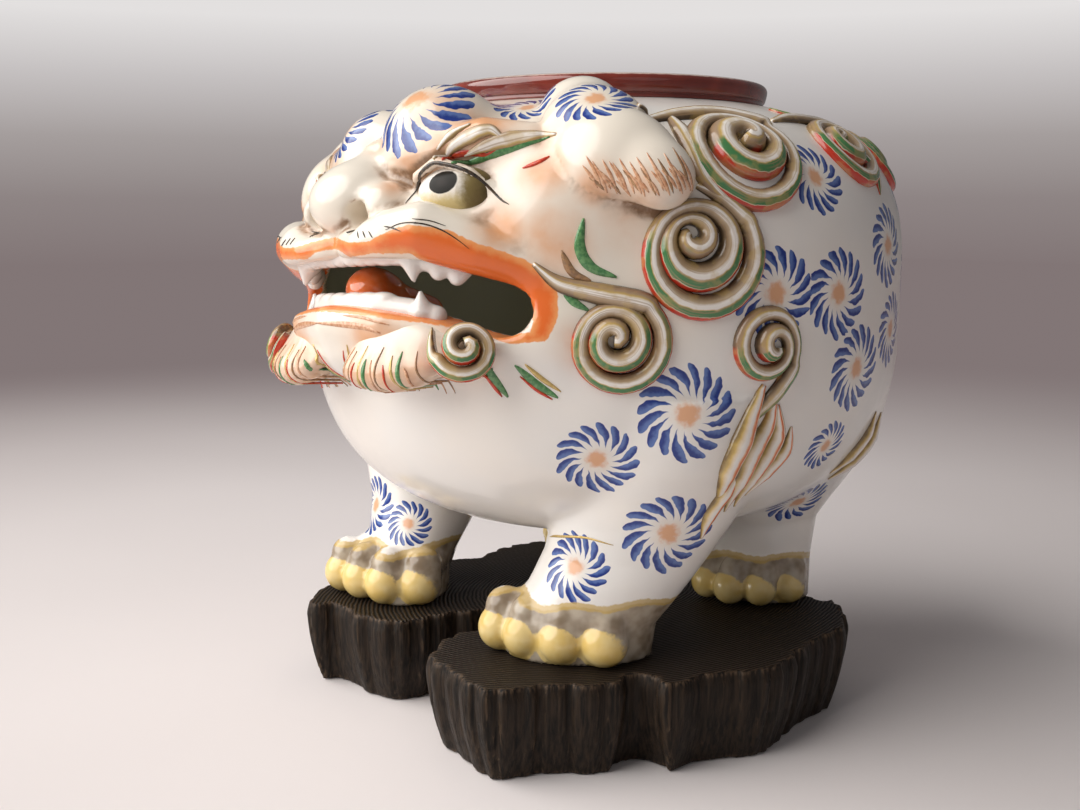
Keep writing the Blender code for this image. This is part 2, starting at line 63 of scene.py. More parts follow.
POT_LOW, POT_HIGH = box_mm("pot_body")
RIM_LOW, RIM_HIGH = box_mm("rim_collar")
POT_RADIUS = (POT_HIGH[0] - POT_LOW[0]) / 2
POT_BOTTOM = POT_LOW[2]
POT_WAIST = 158.0
POT_TOP = 224.0
POT_POWER = 3.0
WALL = 6.0
RIM_RADIUS = (RIM_HIGH[0] - RIM_LOW[0]) / 2
RIM_INNER = 54.0
RIM_TOP = RIM_HIGH[2]
RIM_BASE = RIM_LOW[2]
STAND_TOP = box_mm("wood_stand")[1][2]
SOLE = STAND_TOP + 0.25
FACE_TILT = math.radians(3.5)
FACE_PIVOT = 170.0
EYE = (38.0, -101.0, 185.4)
FAR_EYE_SINK = 5.0
FAR_LIP_DROP = 2.2

# ---- distance fields -------------------------------------------------------------------------------------


def blend(first, second, softness):
    """The smooth union of two distance fields."""
    share = np.clip(0.5 + 0.5 * (second - first) / softness, 0, 1)
    return second + (first - second) * share - softness * share * (1 - share)


def carve(body, tool, softness):
    """The body with the tool smoothly taken away."""
    return -blend(-body, tool, softness)


def ball(points, centre, radii, turn=None):
    offset = points - np.asarray(centre, np.float32)
    if turn is not None:
        offset = offset @ np.asarray(turn, np.float32)
    radii = np.asarray(np.broadcast_to(radii, 3), np.float32)
    near = np.sqrt(((offset / radii) ** 2).sum(1))
    steep = np.sqrt(((offset / radii**2) ** 2).sum(1)) + 1e-6
    return near * (near - 1) / steep


def rod(points, *knots):
    """A tapering round rod through (x, y, z, radius) knots."""
    nearest = np.full(len(points), 1e3, np.float32)
    for start, end in zip(knots, knots[1:]):
        a, b = np.array(start[:3], np.float32), np.array(end[:3], np.float32)
        span = b - a
        share = np.clip(((points - a) @ span) / (span @ span), 0, 1)
        gap = np.sqrt(((points - a - share[:, None] * span) ** 2).sum(1))
        nearest = np.minimum(nearest, gap - (start[3] + (end[3] - start[3]) * share))
    return nearest


def outline_distance(x, z, outline):
    """The signed distance to a closed outline of (x, z) points, negative inside."""
    best = np.full(len(x), 1e6)
    inside = np.zeros(len(x), bool)
    count = len(outline)
    for index in range(count):
        (x1, z1), (x2, z2) = outline[index], outline[(index + 1) % count]
        dx, dz = x2 - x1, z2 - z1
        share = np.clip(((x - x1) * dx + (z - z1) * dz) / (dx * dx + dz * dz), 0, 1)
        best = np.minimum(best, (x - x1 - share * dx) ** 2 + (z - z1 - share * dz) ** 2)
        crosses = (z1 > z) != (z2 > z)
        inside ^= crosses & (x < x1 + (z - z1) * dx / (dz if dz else 1e-9))
    return np.where(inside, -1, 1) * np.sqrt(best)


def spline(p0, p1, p2, p3, t):
    """A point of the Catmull-Rom curve between p1 and p2."""
    steady, bend = 2 * p0 - 5 * p1 + 4 * p2 - p3, 3 * p1 - p0 - 3 * p2 + p3
    return 0.5 * (2 * p1 + (p2 - p0) * t + steady * t**2 + bend * t**3)


def rounded(outline, samples=5):
    """A closed Catmull-Rom curve through the outline's points."""
    points = np.array(outline, float)
    loop = []
    for index in range(len(points)):
        p0, p1, p2, p3 = (points[(index + step) % len(points)] for step in (-1, 0, 1, 2))
        loop += [spline(p0, p1, p2, p3, t) for t in np.arange(samples) / samples]
    return np.array(loop)


def pot_field(points):
    around = np.hypot(points[:, 0], points[:, 1])
    above = points[:, 2] - POT_WAIST
    reach = np.where(above > 0, POT_TOP - POT_WAIST, POT_WAIST - POT_BOTTOM)
    size = (around / POT_RADIUS) ** POT_POWER + (np.abs(above) / reach) ** POT_POWER
    size = np.maximum(size, 1e-3)
    slope = np.hypot(around**2 / POT_RADIUS**3, above**2 / reach**3) * size ** (-2 / 3)
    return (np.cbrt(size) - 1) / np.maximum(slope, 1e-4)


def tilted(points, way=1):
    """The points turned about the face's pivot: way 1 goes from figure to face places, -1 back."""
    angle = FACE_TILT * way
    x, z = points[:, 0], points[:, 2] - FACE_PIVOT
    turned = points.copy()
    turned[:, 0] = x * math.cos(angle) + z * math.sin(angle)
    turned[:, 2] = FACE_PIVOT - x * math.sin(angle) + z * math.cos(angle)
    return turned


def halved(points):
    """The points folded over onto the left half."""
    half = points.copy()
    half[:, 0] = np.abs(half[:, 0])
    return half


RIGHT_OF_MOUTH = [
    (20, 166.5), (34, 165), (44, 161), (52, 158.5), (59, 156), (63, 152), (64, 147), (61, 142.5),
    (54.5, 141), (48.5, 142.5), (42.5, 144.7), (36, 147.2), (29, 149), (15, 151.5),
]
MOUTH = rounded([(0, 167), *RIGHT_OF_MOUTH, (0, 152.5), *[(-x, z) for x, z in RIGHT_OF_MOUTH[::-1]]], 3)


def mouth_field(face):
    return np.maximum(outline_distance(face[:, 0], face[:, 2], MOUTH), face[:, 1] + 55).astype(np.float32)


def head_field(body, points):
    """The head's masses laid on the pot. Both halves are alike, so only one is described."""
    face = tilted(points)
    half = halved(face)
    # the cheeks and the sides of the skull
    body = blend(body, ball(half, (57, -68.5, 177), (20, 23, 22)), 14)
    body = blend(body, ball(half, (56, -78, 142), (15, 16, 14)), 12)
    # forehead lumps, with a groove between them
    body = blend(body, ball(face, (16.5, -87, 203.5), (21, 20, 19)), 6)
    body = blend(body, ball(face, (-17, -86, 201.5), (16.5, 17.5, 17)), 6)
    # the brow ridge runs from the nose's root out over the eye
    sunk = half.copy()
    sunk[:, 1] -= FAR_EYE_SINK * np.clip(-face[:, 0] / 20, 0, 1)
    ridge = rod(
        sunk, (9, -103, 197, 4.5), (20, -103, 198, 5.5), (31, -98.5, 200, 6.5), (43, -91, 202, 7),
        (55, -82, 201, 5.5),
    )
    body = blend(body, ridge, 4)
    # socket, eyeball and lids
    body = carve(body, ball(sunk, (EYE[0] + 1, EYE[1] - 8.5, EYE[2] + 1), (13, 8.5, 8.2)), 4)
    upper_lid = rod(
        sunk, (25.5, -105.5, 184.0, 1.1), (29, -107.8, 191.8, 1.4), (37.5, -106.3, 195.6, 1.6),
        (47, -101, 191.8, 1.5), (54, -94.5, 183, 1.2),
    )
    lower_lid = rod(
        sunk, (25.5, -105.5, 184.0, 1.1), (31, -108.2, 179.4, 1.5), (40, -105.2, 177.8, 1.7),
        (48.5, -99.5, 178.8, 1.6), (54, -94.5, 182.5, 1.2),
    )
    body = blend(body, np.minimum(upper_lid, lower_lid), 3)
    # nose
    nose = ball(half, (0, -111, 185.5), (16, 16, 12.5))
    nose = blend(nose, ball(half, (16.5, -110.5, 182.8), (9.5, 10, 8.5)), 3)
    nose = blend(nose, rod(half, (0, -101, 199, 7), (0, -106, 190, 11)), 6)
    body = blend(body, nose, 3)
    # the cheek's fold between the lip and the eye
    fold = rod(
        half, (19, -111, 183, 3.6), (31, -104.5, 181.5, 4.8), (46, -95.5, 176.5, 5.5), (58, -86, 170, 6),
        (66, -77, 163, 5),
    )
    body = blend(body, fold, 3)
    body = blend(body, ball(half, (60, -81, 179), (9, 10, 8)), 5)
    # the upper lip, rolled forward like a moustache, round the corner into the lower lip
    low = half.copy()
    low[:, 2] += FAR_LIP_DROP * np.clip(-face[:, 0] / 15, 0, 1) * np.clip((half[:, 2] - 160) / 10, 0, 1)
    lip = rod(
        low, (0, -114, 172, 6), (7, -118, 171.5, 5.8), (17, -120, 171.8, 6.2), (27, -116.5, 173.6, 8.2),
        (36, -111.5, 174.4, 9.2), (49, -100, 168, 8.4), (61, -89, 161.5, 6.4), (68, -81.5, 155, 5),
        (69.5, -79.5, 148, 4.3), (64, -85, 140.5, 4.2),
    )
    body = blend(body, lip, 2.4)
    body = carve(body, rod(half, (14.5, -127, 179.2, 5.0), (12.5, -114, 182.0, 3.8)), 1.4)
    # lower jaw and lip
    jaw = rod(half, (0, -112, 142, 15), (20, -108, 141, 14), (42, -95, 139, 12), (60, -80, 140, 9))
    body = blend(body, jaw, 7)
    lip = rod(
        half, (64, -85, 140.5, 4.2), (56, -92.5, 136.8, 4.6), (47, -100.5, 138, 5), (38, -107, 140.5, 5.6),
        (22, -117.5, 146, 6.8), (0, -122, 147, 7.2),
    )
    body = blend(body, lip, 3)
    return body, face


def ear_field(points):
    """The floppy ears: a rounded top by the rim, swelling out and down to a blunt tip."""
    half = halved(tilted(points))
    ear = ball(half, (52, -58, 210), (14, 15, 10), turn_to(42, 40))
    ear = blend(ear, ball(half, (68, -68, 203), (17, 17, 9.5), turn_to(46, 38)), 8)
    ear = blend(ear, ball(half, (82, -71, 194), (17, 14, 9), turn_to(50, 22)), 8)
    return blend(ear, ball(half, (94, -66, 187), (10, 10, 7), turn_to(56, 12)), 6)


def turn_to(azimuth, lean):
    """Columns: the sideways, upward and outward directions of a patch at this azimuth that leans back."""
    a, e = math.radians(azimuth), math.radians(lean)
    out = np.array([math.sin(a) * math.cos(e), -math.cos(a) * math.cos(e), math.sin(e)])
    side = np.array([math.cos(a), math.sin(a), 0.0])
    return np.stack([side, np.cross(out, side), out], 1)


def limb(points, knots):
    """A leg lofted through (height, x, y, half length, half width) ellipses, set diagonally."""
    heights, *columns = np.array(knots, float).T
    x, y, length, width = (np.interp(points[:, 2], heights, column) for column in columns)
    along = (points[:, 0] - x + points[:, 1] - y) * math.sqrt(0.5)
    across = (points[:, 1] - y - points[:, 0] + x) * math.sqrt(0.5)
    reach = np.sqrt((along / length) ** 2 + (across / width) ** 2)
    slope = np.hypot(along / length**2, across / width**2) / np.maximum(reach, 1e-3)
    side = (reach - 1) / np.maximum(slope, 1e-3)
    return np.maximum(side, points[:, 2] - heights[-1]).astype(np.float32)


FORELEG = [
    (30, 49, -58, 25, 15), (44, 50, -58, 26, 16), (52, 53, -52.5, 26.5, 18.5), (60, 55.4, -47.5, 27.5, 21),
    (68, 57.7, -43, 28.5, 22.5), (80, 61.5, -39.5, 31, 25), (90, 64, -38, 32.5, 28), (100, 67, -36, 34, 32),
    (110, 68.5, -36, 34, 34), (125, 70, -36, 34, 35),
]
HINDLEG = [
    (30, 47, 45, 18, 18), (50, 46, 44.5, 19.5, 19.5), (65, 47, 44.5, 20.5, 21), (80, 51.5, 44, 26, 25.5),
    (97, 56, 43, 32, 30), (125, 58, 42, 33, 34),
]
FORE_TOES = [
    (29, -74), (41, -73), (53.5, -68), (65, -59.5), (-64, -78), (-51.5, -78), (-39.5, -75.5), (-30, -66),
]
HIND_TOES = [(38, 24), (49, 24), (58, 31), (63, 42)]


def leg_field(points):
    half = halved(points)
    fore = limb(half, FORELEG)
    hind = limb(half, HINDLEG)
    for x, y in FORE_TOES:
        ankle = (math.copysign(52, x), -53)
        fore = blend(fore, rod(points, (x, y, 44, 7.0), (*ankle, 50, 15)), 2.0)
        fore = blend(fore, ball(points, (x, y + 0.2, 47.5), (6.4, 7.2, 6.8)), 1.0)
        fore = blend(fore, ball(points, (x, y - 1.4, 40.4), (7.9, 8.6, 8.3)), 0.3)
    for x, y in HIND_TOES:
        hind = blend(hind, rod(half, (x, y, 42, 6.0), (47, 45, 50, 14)), 2.0)
        hind = blend(hind, ball(half, (x, y + 1, 44.5), (5.4, 6.0, 6.8)), 1.0)
        hind = blend(hind, ball(half, (x, y - 1.2, 39.2), (6.4, 7.2, 6.9)), 0.3)
    return fore, hind


def porcelain_field(points):
    """The whole white body: pot, legs, head and ears, hollow inside, with the mouth cut through."""
    points = points.astype(np.float32)
    body = pot_field(points).astype(np.float32)
    fore, hind = leg_field(points)
    body = blend(body, hind, 12)
    body = blend(body, fore, 3.0)
    body, face = head_field(body, points)
    body = blend(body, ear_field(points), 1.8)
    body = carve(body, mouth_field(face), 2.2)
    hollow = blend(pot_field(points) + WALL, rod(points, (0, 0, 200, RIM_INNER), (0, 0, 260, RIM_INNER)), 2)
    body = carve(body, hollow.astype(np.float32), 1.5)
    body = np.maximum(
        body, points[:, 2] - RIM_BASE - 0.2 - 40 * (np.hypot(points[:, 0], points[:, 1]) > RIM_RADIUS + 1),
    )
    return np.maximum(body, SOLE - points[:, 2])


# ---- meshing a field -------------------------------------------------------------------------------------

REFINE_PASSES = 2


def field_normals(field, points, step=0.25):
    here, slopes = field(points), []
    for axis in range(3):
        shift = np.zeros(3, np.float32)
        shift[axis] = step
        slopes.append((field(points + shift) - here) / step)
    slopes = np.stack(slopes, 1)
    steepness = np.linalg.norm(slopes, axis=1, keepdims=True)
    return slopes / np.maximum(steepness, 1e-6), steepness, here[:, None]


def narrow_band(field, low, high, cell, coarse=4):
    """Field values on a fine grid, worked out only where a coarse grid shows that the surface passes."""
    counts = (np.ceil((high - low) / (cell * coarse))).astype(int) + 1
    axes = [low[i] + cell * coarse * np.arange(counts[i] + 1) for i in range(3)]
    grid = np.stack(np.meshgrid(*axes, indexing="ij"), -1).reshape(-1, 3)
    rough = field(grid).reshape(counts + 1)
    near = np.abs(rough) < cell * coarse * 1.3
    lumps = np.zeros(counts, bool)
    for corner in np.ndindex(2, 2, 2):
        lumps |= near[
            corner[0]:counts[0] + corner[0], corner[1]:counts[1] + corner[1],
            corner[2]:counts[2] + corner[2],
        ]
    fine_counts = counts * coarse + 1
    wanted = np.zeros(fine_counts, bool)
    for corner in np.ndindex(coarse + 1, coarse + 1, coarse + 1):
        i, j, k = np.nonzero(lumps)
        wanted[i * coarse + corner[0], j * coarse + corner[1], k * coarse + corner[2]] = True
    where = np.nonzero(wanted)
    places = np.stack(where, 1) * cell + low
    values = np.full(fine_counts, np.nan, np.float32)
    values[where] = field(places)
    return values


def surface_net(field, low, high, cell):
    """A quad mesh of the zero surface: a vertex in each crossed cell, a face across each crossed edge."""
    low, high = np.asarray(low, float), np.asarray(high, float)
    values = narrow_band(field, low, high, cell)
    solid = values < 0
    known = ~np.isnan(values)
    n = np.array(values.shape) - 1
    counts, total = np.zeros(n, np.int16), np.zeros((*n, 3), np.float32)
    quads = []
    for axis in range(3):
        ahead = tuple(slice(1, None) if i == axis else slice(None) for i in range(3))
        behind = tuple(slice(None, -1) if i == axis else slice(None) for i in range(3))
        crossed = (solid[behind] != solid[ahead]) & known[behind] & known[ahead]
        i, j, k = np.nonzero(crossed)
        first, second = values[behind][i, j, k], values[ahead][i, j, k]
        spot = np.stack([i, j, k], 1).astype(np.float32)
        spot[:, axis] += first / (first - second)
        others = [a for a in range(3) if a != axis]
        corners = []
        for back_a, back_b in ((1, 1), (0, 1), (0, 0), (1, 0)):
            cell_index = np.stack([i, j, k], 1)
            cell_index[:, others[0]] -= back_a
            cell_index[:, others[1]] -= back_b
            fits = ((cell_index >= 0) & (cell_index < n)).all(1)
            inside = cell_index[fits]
            np.add.at(counts, tuple(inside.T), 1)
            np.add.at(total, tuple(inside.T), spot[fits])
            corners.append(cell_index)
        flip = (first < 0) ^ (axis == 1)
        ring = np.stack(corners, 1)
        ring[~flip] = ring[~flip][:, ::-1]
        quads.append(ring[((ring >= 0) & (ring < n)).all((1, 2))])
    quads = np.concatenate(quads)
    numbers = np.full(n, -1)
    active = np.nonzero(counts)
    numbers[active] = np.arange(len(active[0]))
    verts = total[active] / counts[active][:, None] * cell + low
    faces = numbers[tuple(quads.reshape(-1, 3).T)].reshape(-1, 4)
    for _ in range(REFINE_PASSES):
        normals, steepness, gap = field_normals(field, verts)
        verts = verts - np.clip(gap / np.maximum(steepness, 0.3), -cell / 2, cell / 2) * normals
    return verts, faces


def mesh_piece(name, verts, faces, material):
    """A mesh object from millimetre vertices."""
    mesh = bpy.data.meshes.new(name)
    mesh.from_pydata((np.asarray(verts) * MM).tolist(), [], [list(map(int, face)) for face in faces])
    mesh.update()
    mesh.polygons.foreach_set("use_smooth", np.ones(len(mesh.polygons), bool))
    obj = bpy.data.objects.new(name, mesh)
    bpy.context.scene.collection.objects.link(obj)
    mesh.materials.append(material)
    return obj


# ---- places on the porcelain -----------------------------------------------------------------------------

OUTSIDE_RADIUS = 140.0
SETTLE_PASSES = 40
SETTLE_PACE = 0.85
SETTLED = 0.03


def polar(azimuth, radius, height):
    angle = np.radians(azimuth)
    return np.stack(
        np.broadcast_arrays(radius * np.sin(angle), -radius * np.cos(angle), height), -1,
    ).astype(float)


def figure_field(points):
    return np.minimum(porcelain_field(points), beard_field(points))


def settle(points, inward):
    """Slides the points along their inward directions until they touch the figure."""
    points = np.array(points, float)
    for _ in range(SETTLE_PASSES):
        gap = figure_field(points)
        points += inward * np.clip(gap, -2, 8)[:, None] * SETTLE_PACE
        if np.abs(gap).max() < SETTLED:
            break
    return points


def mirrored(points, face):
    """The matching places on the dog's other side. The face mirrors about its own leaning middle."""
    points = tilted(points) if face else points
    points = points * (-1, 1, 1)
    return tilted(points, -1) if face else points


def on_figure(places, side=1, face=False):
    """Surface points and outward normals at (azimuth, height) places on the left, or mirrored (side -1)."""
    places = np.array(places, float)
    start, inward = polar(places[:, 0], OUTSIDE_RADIUS, places[:, 1]), -polar(places[:, 0], 1.0, 0.0)
    if side < 0:
        start, inward = mirrored(start, face), inward * (-1, 1, 1)
    points = settle(start, inward)
    return points, field_normals(figure_field, points, 0.8)[0]


def flat_axes(azimuth, out):
    """The sideways and upward directions of a flat patch at this azimuth that faces outwards."""
    bearing = math.radians(azimuth)
    across = np.array([math.cos(bearing), math.sin(bearing), 0.0])
    across -= out * (across @ out)
    across /= np.linalg.norm(across)
    return across, np.cross(out, across)


def curve_through(knots, samples):
    """An open Catmull-Rom curve through the knots, sampled evenly between each pair."""
    knots = np.array(knots, float)
    ends = np.vstack([2 * knots[0] - knots[1], knots, 2 * knots[-1] - knots[-2]])
    spots = []
    for index in range(len(knots) - 1):
        spots += [spline(*ends[index:index + 4], t) for t in np.arange(samples) / samples]
    return np.array(spots + [knots[-1]])


# ---- swept pieces: enamel strokes and locks of mane ------------------------------------------------------


class Sweep:
    """Closed tapering bands laid along paths on the porcelain, gathered into one mesh piece."""

    def __init__(self, section, sink):
        self.section = np.array(section, float)
        self.sink = sink
        self.verts, self.faces, self.across, self.under = [], [], [], []
        self.count = 0

    def add(self, points, normals, halves, heights, flip=1, under=1.0):
        tangents = np.gradient(points, axis=0)
        tangents /= np.linalg.norm(tangents, axis=1, keepdims=True) + 1e-9
        sides = np.cross(normals, tangents)
        sides /= np.linalg.norm(sides, axis=1, keepdims=True) + 1e-9
        ring = len(self.section)
        for point, side, normal, half, height in zip(points, sides, normals, halves, heights):
            rise = np.where(self.section[:, 1] > 0, height, self.sink)
            self.verts.append(
                point + self.section[:, :1] * half * side + (self.section[:, 1] * rise)[:, None] * normal
            )
            self.across += list(self.section[:, 0] * flip)
        self.under += list(np.repeat(np.broadcast_to(under, len(points)), ring))
        base = self.count
        for step in range(len(points) - 1):
            for spot in range(ring):
                after = (spot + 1) % ring
                first, second = base + step * ring, base + (step + 1) * ring
                self.faces.append((first + spot, first + after, second + after, second + spot))
        self.faces.append(tuple(base + spot for spot in range(ring))[::-1])
        self.faces.append(tuple(base + (len(points) - 1) * ring + spot for spot in range(ring)))
        self.count += len(points) * ring

    def piece(self, name, material, slot, *nodes):
        obj = mesh_piece(name, np.concatenate(self.verts), self.faces, material)
        point_values(obj, across=self.across, under=self.under)
        face_outwards(obj)
        return placed(obj, slot, *nodes)


def face_outwards(obj):
    shape = bmesh.new()
    shape.from_mesh(obj.data)
    bmesh.ops.recalc_face_normals(shape, faces=shape.faces)
    shape.to_mesh(obj.data)
    shape.free()


def point_values(obj, **columns):
    for label, values in columns.items():
        obj.data.attributes.new(label, "FLOAT", "POINT").data.foreach_set(
            "value", np.asarray(values, np.float32),
        )


def placed(obj, slot, *nodes, body="statue"):
    """Rides the piece on its body and hides the CAD nodes it stands for. The slot, for its finish, is not
    used.
    """
    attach(obj, body)
    if nodes:
        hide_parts(*nodes)
    return obj


def both_sides(*names):
    return [f"{name}_{side}" for name in names for side in ("left", "right")]


STROKE_SECTION = [(1, -1), (0.72, 0.6), (0, 1), (-0.72, 0.6), (-1, -1)]
LOCK_SECTION = [
    (math.cos(angle), math.sin(angle)) for angle in np.linspace(0, math.pi, 11)
] + [(-0.9, -1), (0.9, -1)]
SIDES = (1, -1)
STROKE_SAMPLES = 7
LOCK_SAMPLES = 8
LOCK_SINK = 2.2


def brush(sweep, places, width, face=True, sides=SIDES, height=0.28):
    """A brush stroke of enamel through (azimuth, height) places, full in the middle, fine at its ends."""
    path = curve_through(places, STROKE_SAMPLES)
    share = np.linspace(0, 1, len(path))
    swell = np.minimum(share * 3, (1 - share) * 2.4)
    halves = width / 2 * np.sqrt(np.clip(swell, 0.03, 1))
    for side in sides:
        points, normals = on_figure(path, side, face)
        sweep.add(points, normals, halves, np.full(len(points), height))


def lock(sweep, places, widths, height, face=False, sides=SIDES, under=1.0, spread=1.0):
    """A raised lock of hair through (azimuth, height) places, its widths spread evenly along it."""
    path = curve_through(places, LOCK_SAMPLES)
    halves = np.interp(np.linspace(0, 1, len(path)), np.linspace(0, 1, len(widths)), widths) / 2
    for side in sides:
        points, normals = on_figure(path, side, face)
        sweep.add(points, normals, halves, np.minimum(height, halves * 0.8), side * spread, under)


TURN_STEPS = 28
CURL_STEP = 1.1
CURL_CLEARANCE = 26


def curl(
    sweep, place, reach, turns, hand, start, shift, tail, tail_widths, height=3.2, relief=None, face=False,
):
    """A lock wound into a spiral: its tail comes in, then the turns close on a centre set to one side."""
    steps = int(TURN_STEPS * turns)
    share = np.arange(steps + 1) / steps
    angle = math.radians(start) + hand * 2 * math.pi * turns * share
    radius = reach * (1 - share) ** 0.95 + 0.6
    fade = ((1 - share) ** 1.3)[:, None]
    spiral = np.stack([radius * np.cos(angle), radius * np.sin(angle)], 1) + fade * shift
    gaps = np.linalg.norm(spiral[TURN_STEPS:] - spiral[:-TURN_STEPS], axis=1)
    inner = np.concatenate([gaps, np.full(TURN_STEPS, gaps[-1])])
    outer = np.concatenate([np.full(TURN_STEPS, gaps[0]), gaps])
    halves = (inner + outer) / 4 * np.interp(share, [0, 0.85, 1], [1.02, 1.02, 0.8])
    lead = curve_through(list(tail) + [spiral[0], spiral[4]], 7)[:-7]
    lead_halves = np.interp(
        np.linspace(0, 1, len(lead)), np.linspace(0, 1, len(tail_widths) + 1),
        [*np.array(tail_widths) / 2, halves[0]],
    )
    flat, halves = np.vstack([lead, spiral]), np.concatenate([lead_halves, halves])
    length = np.concatenate([[0], np.cumsum(np.linalg.norm(np.diff(flat, axis=0), axis=1))])
    even = np.linspace(0, length[-1], int(length[-1] / CURL_STEP))
    flat = np.stack([np.interp(even, length, flat[:, 0]), np.interp(even, length, flat[:, 1])], 1)
    halves = np.interp(even, length, halves)
    rises = height * np.clip(halves / 3.5, 0, 1) * np.interp(
        even / length[-1], [0, 0.6, 1], [0.85, 1.0, 1.5],
    )
    under = -(flat[:, 1] - shift[1]) / (np.linalg.norm(flat - shift, axis=1) + 1)
    for side in SIDES:
        (centre,), (out,) = on_figure([place], side, face)
        across, up = flat_axes(place[0] * side, out)
        points = centre + flat[:, :1] * across * side + flat[:, 1:] * up
        if relief is None:
            points = settle(points + out * CURL_CLEARANCE, np.broadcast_to(-out, points.shape))
            normals = field_normals(figure_field, points, 2.0)[0] * 0.6 + out * 0.4
        else:
            swell = relief * (1 - (np.linalg.norm(flat, axis=1, keepdims=True) / (reach * 1.25)) ** 2)
            points, normals = points + swell * out, out + 0.05 * (points - centre)
        normals /= np.linalg.norm(normals, axis=1, keepdims=True)
        sweep.add(points, normals, halves, rises, hand * side, under)


# ---- materials -------------------------------------------------------------------------------------------


class Value:
    """A node's output. Arithmetic with it makes math nodes."""

    def __init__(self, shade, socket):
        self.shade = shade
        self.socket = socket

    def __add__(self, other):
        return self.shade.math("ADD", self, other)

    def __radd__(self, other):
        return self.shade.math("ADD", other, self)

    def __sub__(self, other):
        return self.shade.math("SUBTRACT", self, other)

    def __rsub__(self, other):
        return self.shade.math("SUBTRACT", other, self)

    def __mul__(self, other):
        return self.shade.math("MULTIPLY", self, other)

    def __truediv__(self, other):
        return self.shade.math("DIVIDE", self, other)

    def __pow__(self, other):
        return self.shade.math("POWER", self, other)


class Shade:
    """A short way to write the node tree of a material or of the world."""

    def __init__(self, name, kind="materials", shader="Principled BSDF"):
        self.owner = getattr(bpy.data, kind).new(name)
        self.owner.use_nodes = True
        self.tree = self.owner.node_tree
        self.shader = self.tree.nodes[shader]

    def node(self, kind, inputs=(), **settings):
        node = self.tree.nodes.new("ShaderNode" + kind)
        for key, value in settings.items():
            setattr(node, key, value)
        for key, value in dict(inputs).items():
            self.feed(node.inputs[key], value)
        return node

    def feed(self, socket, value):
        if isinstance(value, Value):
            self.tree.links.new(value.socket, socket)
        elif socket.type == "RGBA" and not isinstance(value, (int, float)):
            socket.default_value = (*value, 1.0)
        else:
            socket.default_value = value

    def value(self, kind, inputs=(), output=0, **settings):
        return Value(self, self.node(kind, inputs, **settings).outputs[output])

    def split(self, vector):
        return [Value(self, socket) for socket in self.node("SeparateXYZ", {0: vector}).outputs]

    def attribute(self, name):
        return self.value("Attribute", output="Fac", attribute_name=name)

    def position(self):
        return self.value("TexCoord", output="Object")

    def noise(self, scale, detail=3.0, vector=None, rough=0.5):
        inputs = {"Scale": scale, "Detail": detail, "Roughness": rough, "Vector": vector or self.position()}
        return self.value("TexNoise", inputs, "Fac")

    def math(self, how, first, second):
        return self.value("Math", {0: first, 1: second}, operation=how)

    def vector(self, how, inputs):
        return self.value("VectorMath", inputs, operation=how)

    def step(self, value, low, high, first=0.0, last=1.0):
        """A smooth step from first to last as the value goes from low to high."""
        inputs = {"Value": value, "From Min": low, "From Max": high, "To Min": first, "To Max": last}
        return self.value("MapRange", inputs, interpolation_type="SMOOTHSTEP")

    def cloud(self, scale, detail, low, high, first=0.0, last=1.0):
        """Noise turned into soft patches."""
        return self.step(self.noise(scale, detail), low, high, first, last)

    def mix(self, share, first, second):
        """Two colours mixed. The node's colour sockets are its inputs 6 and 7 and its output 2."""
        return self.value("Mix", {0: share, 6: first, 7: second}, 2, data_type="RGBA")

    def cover(self, second, share):
        """Mixes a share of a second shader over the tree's own."""
        inputs = {0: share, 1: Value(self, self.shader.outputs[0]), 2: second}
        output = next(node for node in self.tree.nodes if "Surface" in node.inputs)
        self.feed(output.inputs["Surface"], self.value("MixShader", inputs))

    def ramp(self, value, *stops):
        node = self.node("ValToRGB", {"Fac": value})
        ramp = node.color_ramp
        while len(ramp.elements) < len(stops):
            ramp.elements.new(0.5)
        for element, (spot, colour) in zip(ramp.elements, stops):
            element.position = spot
            element.color = (*colour, 1.0)
        return Value(self, node.outputs["Color"])

    def finish(self, colour, roughness=0.12, metallic=0.0, coat=0.0, bump=None, bump_depth=0.1):
        looks = {"Base Color": colour, "Roughness": roughness, "Metallic": metallic, "Coat Weight": coat}
        for key, value in looks.items():
            self.feed(self.shader.inputs[key], value)
        self.shader.inputs["Coat Roughness"].default_value = 0.05
        if bump is not None:
            inputs = {"Height": bump, "Strength": bump_depth, "Distance": 0.0004}
            self.feed(self.shader.inputs["Normal"], self.value("Bump", inputs))
        return self.owner


WHITE = (0.86, 0.81, 0.75)
PEACH = (0.74, 0.37, 0.18)
CREAM = (0.84, 0.75, 0.61)
BROWN = (0.26, 0.15, 0.08)
ORANGE = (0.80, 0.16, 0.03)
LIGHT_ORANGE = (0.88, 0.37, 0.13)
RED = (0.52, 0.035, 0.015)
GREEN = (0.06, 0.20, 0.07)
GOLD = (0.55, 0.38, 0.12)
TAN = (0.36, 0.25, 0.16)
BLACK = (0.02, 0.018, 0.016)
YELLOW = (0.74, 0.52, 0.16)
PALE_GOLD = (0.75, 0.62, 0.45)
COBALT = (0.012, 0.035, 0.22)
PALE_BLUE = (0.10, 0.17, 0.42)


def enamel(name, colour, other, roughness=0.18, metallic=0.0):
    """Enamel brushed on thickly and thinly, so that its colour drifts between two tones."""
    shade = Shade(name)
    drifting = shade.mix(shade.cloud(900, 2, 0.35, 0.65), colour, other)
    return shade.finish(drifting, roughness, metallic, 0.3)


COMMAS = 16.0


